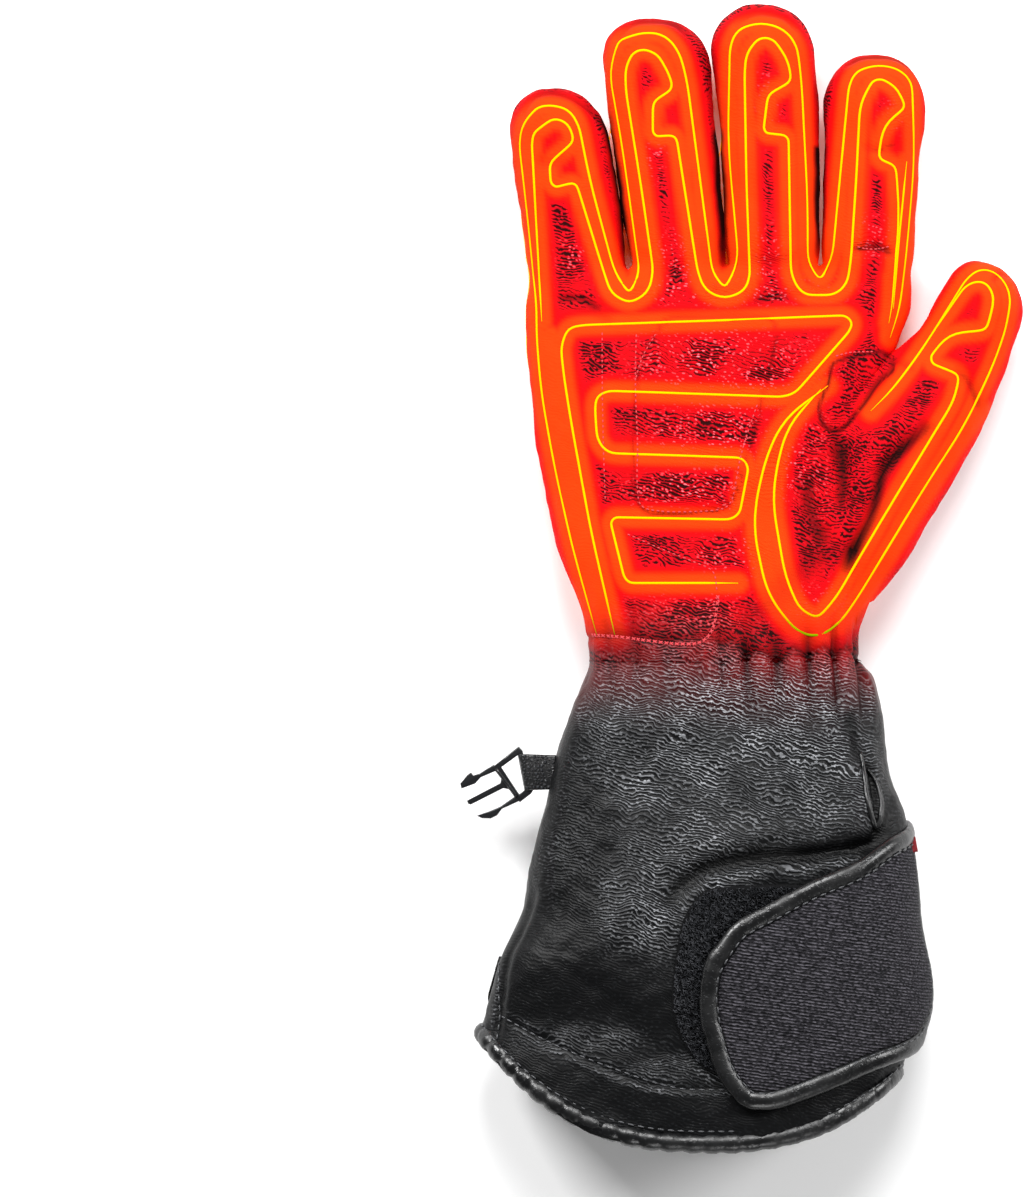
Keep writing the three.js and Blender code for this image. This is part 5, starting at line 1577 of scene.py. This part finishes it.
# %% Slit edge and tag
SLIT = [
    (859, 752), (861, 768), (863, 790), (868, 812), (873, 827), (878, 818), (879, 798), (874, 780),
    (866, 768),
]
path, up = on_skin(curve_through(from_pixels(SLIT)), 1, 0.35)
path[1:-1] = (path[:-2] + 2 * path[1:-1] + path[2:]) / 4
slit_taper = 0.55 + 0.45 * np.sin(np.linspace(0, np.pi, len(path)))
slit_edge = sweep("slit_edge", path, up, oval(0.95, 0.75, 10), sizes=slit_taper)
TAG_PLACE = (59.5, -115.5)
binding_points = corners(strap_binding)
x, y, z = binding_points.T
beside = np.argmin(np.hypot(x - TAG_PLACE[0], y - TAG_PLACE[1]) - 0.02 * z)
tag_middle = binding_points[beside] + [0.5, -0.4, 0.3]
bm = bmesh.new()
bmesh.ops.create_grid(bm, x_segments=10, y_segments=6, size=0.5)
for vert in bm.verts:
    across, along = vert.co.x * 2.2, vert.co.y * 4.8
    vert.co = Vector((across * 0.75, along, -0.5 * across + 0.25 * np.sin(across * 1.6))) * MM
bmesh.ops.solidify(bm, geom=bm.faces[:], thickness=0.0007)
tag_matrix = Matrix.Translation(Vector(tag_middle) * MM) @ Matrix.Rotation(np.radians(10), 4, "Z")
bmesh.ops.transform(bm, matrix=tag_matrix, verts=bm.verts[:])
bmesh.ops.recalc_face_normals(bm, faces=bm.faces[:])
side_tag = new_piece("side_tag", bm)
print("tag at", [round(float(v), 1) for v in tag_middle])

# %% [markdown]
# ## Materials
# Every finish is made of Blender's own textures in the object's coordinates. The leather's grain is a
# field of small cells with dark valleys between them, pulled out of shape by a soft noise.


# %% Short ways to make nodes
def finish(name):
    made = bpy.data.materials.new(name)
    made.use_nodes = True
    return made, made.node_tree, made.node_tree.nodes["Principled BSDF"]


def feed(tree, made, inputs):
    """Sets a node's inputs, or links those whose value comes from another node."""
    for key, value in inputs.items():
        if isinstance(value, bpy.types.NodeSocket):
            tree.links.new(value, made.inputs[key])
        else:
            made.inputs[key].default_value = value


def node(tree, kind, inputs=None, **settings):
    made = tree.nodes.new(kind)
    for key, value in settings.items():
        setattr(made, key, value)
    feed(tree, made, inputs or {})
    return made


def object_place(tree):
    return node(tree, "ShaderNodeTexCoord").outputs["Object"]


def noise(tree, place, scale, detail, output="Fac"):
    inputs = {"Vector": place, "Scale": scale, "Detail": detail}
    return node(tree, "ShaderNodeTexNoise", inputs).outputs[output]


def maths(tree, operation, a, b=0.0, clamp=False):
    return node(tree, "ShaderNodeMath", {0: a, 1: b}, operation=operation, use_clamp=clamp).outputs[0]


def times(tree, a, b, clamp=False):
    return maths(tree, "MULTIPLY", a, b, clamp)


def plus(tree, a, b, clamp=False):
    return maths(tree, "ADD", a, b, clamp)


def shared(tree, a, b, share):
    """A share of a, and the rest from b."""
    return plus(tree, times(tree, a, share), times(tree, b, 1 - share))


def vectors(tree, operation, a, b):
    return node(tree, "ShaderNodeVectorMath", {0: a, 1: b}, operation=operation).outputs[0]


def between(tree, value, low, high, start=0.0, end=1.0):
    inputs = {"Value": value, "From Min": low, "From Max": high, "To Min": start, "To Max": end}
    return node(tree, "ShaderNodeMapRange", inputs, interpolation_type="SMOOTHSTEP").outputs["Result"]


def mixed(tree, share, a, b):
    """A colour between two colours or coloured outputs."""
    made = node(tree, "ShaderNodeMix", data_type="RGBA")
    a, b = (value if isinstance(value, bpy.types.NodeSocket) else (*value, 1) for value in (a, b))
    feed(tree, made, {0: share, 6: a, 7: b})
    return made.outputs[2]


def attribute(tree, name):
    return node(tree, "ShaderNodeAttribute", attribute_name=name).outputs["Fac"]


def wiggled(tree, amount, scale, stretch=(1, 1, 1), turned=0.0):
    """Object coordinates, pulled about by a soft noise, turned and stretched."""
    place = object_place(tree)
    soft = vectors(tree, "SUBTRACT", noise(tree, place, scale, 2.0, "Color"), (0.5, 0.5, 0.5))
    place = vectors(tree, "ADD", place, vectors(tree, "MULTIPLY", soft, (amount, amount, amount)))
    inputs = {"Vector": place, "Rotation": (0, 0, turned), "Scale": tuple(1 / share for share in stretch)}
    return node(tree, "ShaderNodeMapping", inputs, vector_type="TEXTURE").outputs[0]


def bands(tree, place, scale, **more):
    """Wavy lines across the object."""
    inputs = {key.replace("_", " "): value for key, value in more.items()}
    inputs.update({"Vector": place, "Scale": scale})
    return node(tree, "ShaderNodeTexWave", inputs, wave_type="BANDS", bands_direction="Y").outputs["Fac"]


def bump(tree, height, distance):
    inputs = {"Height": height, "Distance": distance, "Strength": 1.0}
    return node(tree, "ShaderNodeBump", inputs).outputs["Normal"]


# %% Grained leather, black and heated
PEBBLE_PITCH, RIPPLE_PITCH = 1050, 290.0
PEBBLE_TILT, RIPPLE_TILT = np.radians(-16), np.radians(-14)
BLACK_VALLEY, BLACK_TOP = (0.0011, 0.0012, 0.0015), (0.0032, 0.0036, 0.0043)
BLACK_PAINTED_HIGHLIGHT, BLACK_CREASE_SHADE = (0.36, 0.37, 0.39), (0.0006, 0.0006, 0.0007)
RED_GLOW_EDGE, RED_GLOW_MIDDLE, RED_VALLEY = (0.55, 0.0, 0.0), (0.36, 0.0, 0.006), (0.014, 0.0, 0.0)
RED_PAINTED_HIGHLIGHT, ORANGE_GLOW, RED_CREASE_SHADE = (0.62, 0.15, 0.18), (0.62, 0.027, 0.0), (0.006, 0.0, 0.0)


def leather(
    name, grain=PEBBLE_PITCH, stretch=(0.58, 1.0, 0.8), depth=0.0003, heated=True, rough=0.45, gloss=0.15
):
    """Leather with pebbles. The heated kind also has ripples, and reads what the corners keep: painted glow,
    painted shade and painted highlights.
    """
    made, tree, surface = finish(name)
    place = wiggled(tree, 0.0055, 75, stretch, PEBBLE_TILT)
    cells = node(tree, "ShaderNodeTexVoronoi", {"Vector": place, "Scale": grain}, feature="F1")
    tops = between(tree, cells.outputs["Distance"], 0.44, 0.14)
    fine = noise(tree, object_place(tree), 2600.0, 3.0)
    patch = between(tree, noise(tree, object_place(tree), 90.0, 3.0), 0.3, 0.7)
    black = mixed(tree, tops, BLACK_VALLEY, BLACK_TOP)
    height = plus(tree, tops, times(tree, fine, 0.2))
    roughness = between(tree, patch, 0.0, 1.0, rough - 0.06, rough + 0.08)
    colour = black
    if heated:
        red_glow, glow, island, crease_shade, painted_highlight = (
            attribute(tree, kept) for kept in ("red_glow", "glow", "island", "crease_shade", "painted_highlight")
        )
        place = wiggled(tree, 0.0075, 100, (1, 1, 1), RIPPLE_TILT)
        uneven = dict(Distortion=4.2, Detail=2.0, Detail_Scale=1.5, Detail_Roughness=0.55)
        ridges = bands(tree, place, RIPPLE_PITCH, **uneven)
        lines = between(tree, shared(tree, ridges, tops, 0.55), 0.36, 0.68)
        pebbled = shared(tree, ridges, tops, 0.24)
        # Painted highlights: where the painted highlight value is high, grain tops are painted light grey on
        # the black leather and pink on the red.
        lit = times(tree, painted_highlight, plus(tree, times(tree, patch, 0.5), 0.6), True)
        black = mixed(tree, times(tree, lit, lines, True), black, BLACK_PAINTED_HIGHLIGHT)
        # Painted shade: creases, pleat valleys and finger gaps are darkened in the black leather's colour.
        black = mixed(tree, times(tree, crease_shade, 0.9), black, BLACK_CREASE_SHADE)
        dense = times(tree, island, plus(tree, times(tree, patch, 0.6), 0.4), True)
        limit = plus(tree, times(tree, dense, 0.38), -0.18)
        bare = between(tree, maths(tree, "SUBTRACT", pebbled, limit), -0.09, 0.12)
        red = mixed(tree, bare, RED_VALLEY, mixed(tree, dense, RED_GLOW_EDGE, RED_GLOW_MIDDLE))
        red = mixed(tree, times(tree, lit, between(tree, pebbled, 0.5, 0.8), True), red, RED_PAINTED_HIGHLIGHT)
        # Painted shade: the same places are darkened in the red leather's colour, over the painted glow.
        glow_colour = mixed(tree, crease_shade, mixed(tree, glow, red, ORANGE_GLOW), RED_CREASE_SHADE)
        colour = mixed(tree, red_glow, black, glow_colour)
        light = mixed(tree, red_glow, (0, 0, 0), glow_colour)
        # Painted glow: the red and orange leather emits light, though it is no lamp.
        feed(tree, surface, {"Emission Color": light, "Emission Strength": 0.4})
        roughness = between(tree, red_glow, 0.0, 1.0, rough, 0.85)
        height = times(tree, plus(tree, height, ridges), plus(tree, times(tree, painted_highlight, 0.85), 0.12, True))
    feed(tree, surface, {
        "Base Color": colour, "Roughness": roughness, "Specular IOR Level": gloss,
        "Normal": bump(tree, height, depth),
    })
    return made


def plain_finish(name, colour, roughness, specular=0.4):
    made, tree, surface = finish(name)
    fine = noise(tree, object_place(tree), 700.0, 4.0)
    lighter = tuple(min(1, c * 1.5 + 0.002) for c in colour)
    feed(tree, surface, {
        "Base Color": mixed(tree, fine, colour, lighter), "Roughness": roughness,
        "Specular IOR Level": specular, "Normal": bump(tree, fine, 0.00008),
    })
    return made


heated_leather = leather("heated_leather", gloss=0.08)
cuff_leather = leather("cuff_leather", gloss=0.14)
lining = plain_finish("dark_lining", (0.003, 0.003, 0.0035), 0.9, 0.1)
binding_leather = leather("binding_leather", 900, (1, 1, 1), 0.00004, False, 0.34, 0.5)

# Painted glow: the heating lines are coloured yellow and emit light, turning green-yellow towards the wrist.
wire_glow, tree, surface = finish("heat_line")
up_down = node(tree, "ShaderNodeSeparateXYZ", {0: object_place(tree)}).outputs[1]
yellow = mixed(tree, between(tree, up_down, -0.052, -0.034), (0.10, 0.17, 0.0), (0.9, 0.29, 0.0))
feed(tree, surface, {
    "Emission Color": yellow, "Emission Strength": 0.9, "Base Color": yellow, "Roughness": 0.9,
    "Specular IOR Level": 0.0,
})

strap_cloth, tree, surface = finish("ribbed_strap")
place = wiggled(tree, 0.0008, 260, (1, 1, 1), np.radians(-8))
ribs = bands(tree, place, 314.0, Distortion=0.0)
drawn_out = node(tree, "ShaderNodeMapping", {"Vector": place, "Scale": (0.5, 1.2, 1.0)}).outputs[0]
flecks = noise(tree, drawn_out, 1700.0, 2.0)
thread = times(tree, between(tree, ribs, 0.0, 0.95, 0.2, 1.0), between(tree, flecks, 0.36, 0.7))
feed(tree, surface, {
    "Base Color": mixed(tree, thread, (0.0035, 0.0033, 0.0045), (0.085, 0.080, 0.093)), "Roughness": 0.85,
    "Specular IOR Level": 0.15, "Normal": bump(tree, plus(tree, ribs, times(tree, flecks, 0.5)), 0.0004),
})

fuzz = plain_finish("fuzzy_loops", (0.020, 0.021, 0.024), 0.6, 0.3)
felt = plain_finish("felt_ground", (0.0016, 0.0016, 0.0019), 0.9, 0.1)
glowing_thread = plain_finish("glowing_thread", (0.34, 0.030, 0.036), 0.6, 0.15)
tree = glowing_thread.node_tree
surface = tree.nodes["Principled BSDF"]
# Painted glow: the red stitches emit a little light.
feed(tree, surface, {"Emission Color": (0.6, 0.06, 0.07, 1), "Emission Strength": 0.15})
black_thread = plain_finish("black_thread", (0.030, 0.031, 0.034), 0.35, 0.5)
moulded = plain_finish("moulded_plastic", (0.0035, 0.0038, 0.0046), 0.28, 0.5)
rubber = plain_finish("control_rubber", (0.006, 0.006, 0.007), 0.55, 0.35)
pale_print = plain_finish("pale_symbol", (0.55, 0.56, 0.58), 0.5, 0.3)
red_tag = plain_finish("red_tag", (0.12, 0.005, 0.008), 0.7, 0.2)
cuff_black = leather("cuff_leather_back", heated=False, gloss=0.3)
cord_black = plain_finish("cord_black", (0.006, 0.006, 0.0065), 0.8, 0.2)

woven, tree, surface = finish("coarse_webbing")
inputs = {"Vector": wiggled(tree, 0.001, 300), "Scale": 900.0, "Randomness": 0.7}
knots = node(tree, "ShaderNodeTexVoronoi", inputs, feature="DISTANCE_TO_EDGE").outputs["Distance"]
tops = between(tree, knots, 0.12, 0.4)
feed(tree, surface, {
    "Base Color": mixed(tree, tops, (0.0015, 0.0015, 0.002), (0.024, 0.026, 0.031)), "Roughness": 0.38,
    "Specular IOR Level": 0.6, "Normal": bump(tree, tops, 0.0006),
})

# %% [markdown]
# ## Where the leather shines
# Painted highlights lie on the tops of the leather's grain: in patches on the palm and the cuff, along
# the folds and on the padded knuckles of the back. Each row is an oval patch or a line, and how bright
# it is. The same value also deepens the grain's bump.

# %% Tables of painted highlights
CUFF_HIGHLIGHTS = [
    (10, -70, 42, 17, 1.0), (24, -88, 30, 16, 0.85), (-14, -92, 26, 16, 0.75), (-34, -70, 16, 14, 0.6),
    (-8, -114, 24, 14, 0.6), (28, -104, 24, 9, 0.45), (-22, -133, 15, 15, 0.85), (-8, -126, 12, 8, 0.6),
    (46, -96, 6, 16, 0.6), (-45, -116, 12, 22, 0.22), (-8, -185, 26, 5, 0.35), (-42, -176, 20, 5, 0.25),
    (-58, -108, 4, 26, 0.3),
]
BACK_HIGHLIGHTS = [
    (-43, 23, 9, 8), (-20.5, 26, 10, 9), (3.5, 25, 11, 9), (27, 22, 10, 8), (-8, -15, 30, 6),
    (-20, -29, 16, 5), (12, -46, 16, 6),
]
BACK_HIGHLIGHTS += [(x, y, 9, 6) for x, y, _ in JOINT_PLEATS]
PALM_HIGHLIGHTS = [
    (2, 33, 26, 10, 0.9), (0, 12, 20, 9, 0.8), (-4, -6, 24, 6, 0.8), (20, 0, 9, 8, 0.9),
    (3, 55.5, 30, 4, 0.9), (-14, 66, 5, 8, 0.8), (15, 66, 5, 8, 0.8), (-20, 96, 3, 6, 0.5),
    (14, 112, 4, 10, 0.5), (5, -26, 12, 6, 0.7), (46, 72, 6, 6, 0.7), (-46, 66, 5, 6, 0.4),
    (30, -40, 10, 6, 0.35), (-8, -44, 20, 6, 0.35), (56, 112, 5, 6, 0.4), (30, 4, 4, 24, 0.3),
]
RIDGE_HIGHLIGHTS = [
    ([(46, -107.5), (30, -113), (12, -114.5), (-4, -117.5), (-14, -123), (-22, -131)], 2.0, 0.35),
    ([(44, -117.5), (30, -121), (14, -122.5), (0, -126), (-8, -131)], 2.6, 0.8),
    (
        [
            (-66, -171.5), (-52.7, -178.5), (-29.1, -189.0), (-14.3, -192.1), (0, -192.1), (16, -190.8),
            (34, -187.3), (52, -180),
        ],
        0.6,
        0.5,
    ),
    ([(-67.6, -166.5), (-52.7, -174.6), (-29.1, -185.2), (-14.3, -188.3), (0, -188.3)], 0.5, 0.3),
    ([(-61.2, -131), (-64, -142), (-68, -154.3), (-71.4, -176)], 0.6, 0.35),
    ([(39, -88), (41.5, -98), (43, -110)], 0.9, 0.7),
    ([(48.8, -95), (49.6, -104), (49.0, -112)], 0.8, 0.5),
]


def spot(points, x, y, rx, ry, power):
    """An oval patch: 1 in its middle, falling off the faster the higher the power."""
    return np.exp(-((((points[:, 0] - x) / rx) ** 2 + ((points[:, 1] - y) / ry) ** 2) ** power))


# Painted highlights: each corner keeps how strongly its grain tops are painted light, on the palm side and on
# the back.
for piece in (hand, gauntlet):
    points, normal = corners(piece), normals(piece)
    painted_highlight = np.zeros(len(points))
    below = smooth(0.8, -0.8, points[:, 1] - pleat_points(points))
    for table, part in ((PALM_HIGHLIGHTS, 1 - below), (CUFF_HIGHLIGHTS, below)):
        for x, y, rx, ry, amount in table:
            painted_highlight = np.maximum(painted_highlight, part * amount * spot(points, x, y, rx, ry, 1.5))
    for line, wide, amount in RIDGE_HIGHLIGHTS:
        beside, _, share = distance_to(points[:, :2], curve_through(line))
        painted_highlight = np.maximum(painted_highlight, amount * bell(beside, wide) * fade(share, 0.1, 0.1))
    painted_highlight *= 0.75 + 0.35 * np.clip(waves(points, 12, 51), -1, 1)
    back_highlight = np.full(len(points), 0.3)
    for x, y, rx, ry in BACK_HIGHLIGHTS:
        back_highlight = np.maximum(back_highlight, 0.8 * spot(points, x, y, rx, ry, 1.5))
    painted_highlight = painted_highlight * smooth(0.3, 0.85, normal[:, 2]) + back_highlight * smooth(0.1, 0.7, -normal[:, 2])
    keep(piece, "painted_highlight", np.clip(painted_highlight, 0, 1))

for name in ("control_bezel", "heat_button"):
    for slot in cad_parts[name].material_slots:
        slot.material = rubber

# %% [markdown]
# ## Studio
# A pale floor and four soft lights, the strongest from behind the fingertips, as in a catalogue.

# %% Floor and light
bm = bmesh.new()
bmesh.ops.create_grid(bm, x_segments=1, y_segments=1, size=6)
floor = new_piece("floor", bm)
floor_finish, tree, surface = finish("pale_floor")
feed(tree, surface, {"Base Color": (0.93, 0.93, 0.93, 1), "Roughness": 0.9})
floor.data.materials.append(floor_finish)
LIGHTS = (
    ("softbox_left", (-0.9, 0.9, 0.9), (-0.02, -0.03, 0), (0.45, 0.45), 30),
    ("softbox_right", (1.1, 0.3, 0.7), (0, -0.05, 0), (0.4, 0.7), 14),
    ("softbox_front", (0.3, -1.5, 1.0), (0, -0.1, 0), (0.9, 0.5), 9),
    ("softbox_top", (0.1, 1.1, 1.4), (0, -0.05, 0), (0.8, 0.6), 34),
)
for name, place, aim, (wide, tall), power in LIGHTS:
    lamp = bpy.data.lights.new(name, "AREA")
    lamp.shape, lamp.size, lamp.size_y, lamp.energy = "RECTANGLE", wide, tall, power
    lamp_stand = bpy.data.objects.new(name, lamp)
    lamp_stand.location = place
    lamp_stand.rotation_euler = (Vector(aim) - Vector(place)).to_track_quat("-Z", "Y").to_euler()
    bpy.context.collection.objects.link(lamp_stand)
world = bpy.data.worlds.new("studio")
world.use_nodes = True
world.node_tree.nodes["Background"].inputs[0].default_value = (1, 1, 1, 1)
world.node_tree.nodes["Background"].inputs[1].default_value = 0.17
bpy.context.scene.world = world
bpy.context.scene.view_settings.view_transform = "Standard"

# %% [markdown]
# ## What each piece is
# The last table says how each piece is finished, which of the CAD's finishes it goes with, and which
# CAD pieces it stands for. Nothing moves on the glove, so all of it rides on the one body.

# %% Finish the pieces, hide the CAD pieces they stand for, and put them on the one body
HAND_NODES = (
    "hand_shell", "little_finger", "ring_finger", "middle_finger", "index_finger", "thumb", "elastic_wrist",
    "palm_patch", "thumb_tab",
)
for piece, finishes, slot, nodes in (
    (hand, (heated_leather, lining), "hand_leather", HAND_NODES),
    (gauntlet, (cuff_leather, lining), "cuff_leather", ("gauntlet",)),
    (heat_wires, (wire_glow,), "hand_leather", ()),
    (closure_strap, (strap_cloth,), "strap_fabric", ("closure_strap",)),
    (strap_binding, (binding_leather,), "binding_leather", ("strap_binding",)),
    (hem_binding, (binding_leather,), "binding_leather", ("hem_binding",)),
    (loop_tape, (felt,), "loop_tape", ("loop_tape",)),
    (tape_loops, (fuzz,), "loop_tape", ()),
    (hot_stitches, (glowing_thread,), "hand_leather", ()),
    (cuff_stitches, (black_thread,), "binding_leather", ()),
    (pocket_stitches, (black_thread,), "binding_leather", ()),
    (clip, (moulded,), "clip_plastic", ("buckle_clip",)),
    (webbing, (woven,), "webbing", ("buckle_webbing",)),
    (pocket_patch, (cuff_black,), "cuff_leather", ("pocket_patch",)),
    (zip_cord, (cord_black,), "webbing", ("zip_pull",)),
    (folded_tab, (binding_leather,), "binding_leather", ("pull_tab",)),
    (symbol, (pale_print,), "control_rubber", ()),
    (slit_edge, (binding_leather,), "binding_leather", ()),
    (side_tag, (red_tag,), "binding_leather", ()),
):
    piece.data.materials.clear()
    for made in finishes:
        piece.data.materials.append(made)
    for face in piece.data.polygons:
        face.use_smooth = True
    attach(piece, "root")
    if nodes:
        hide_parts(*nodes)
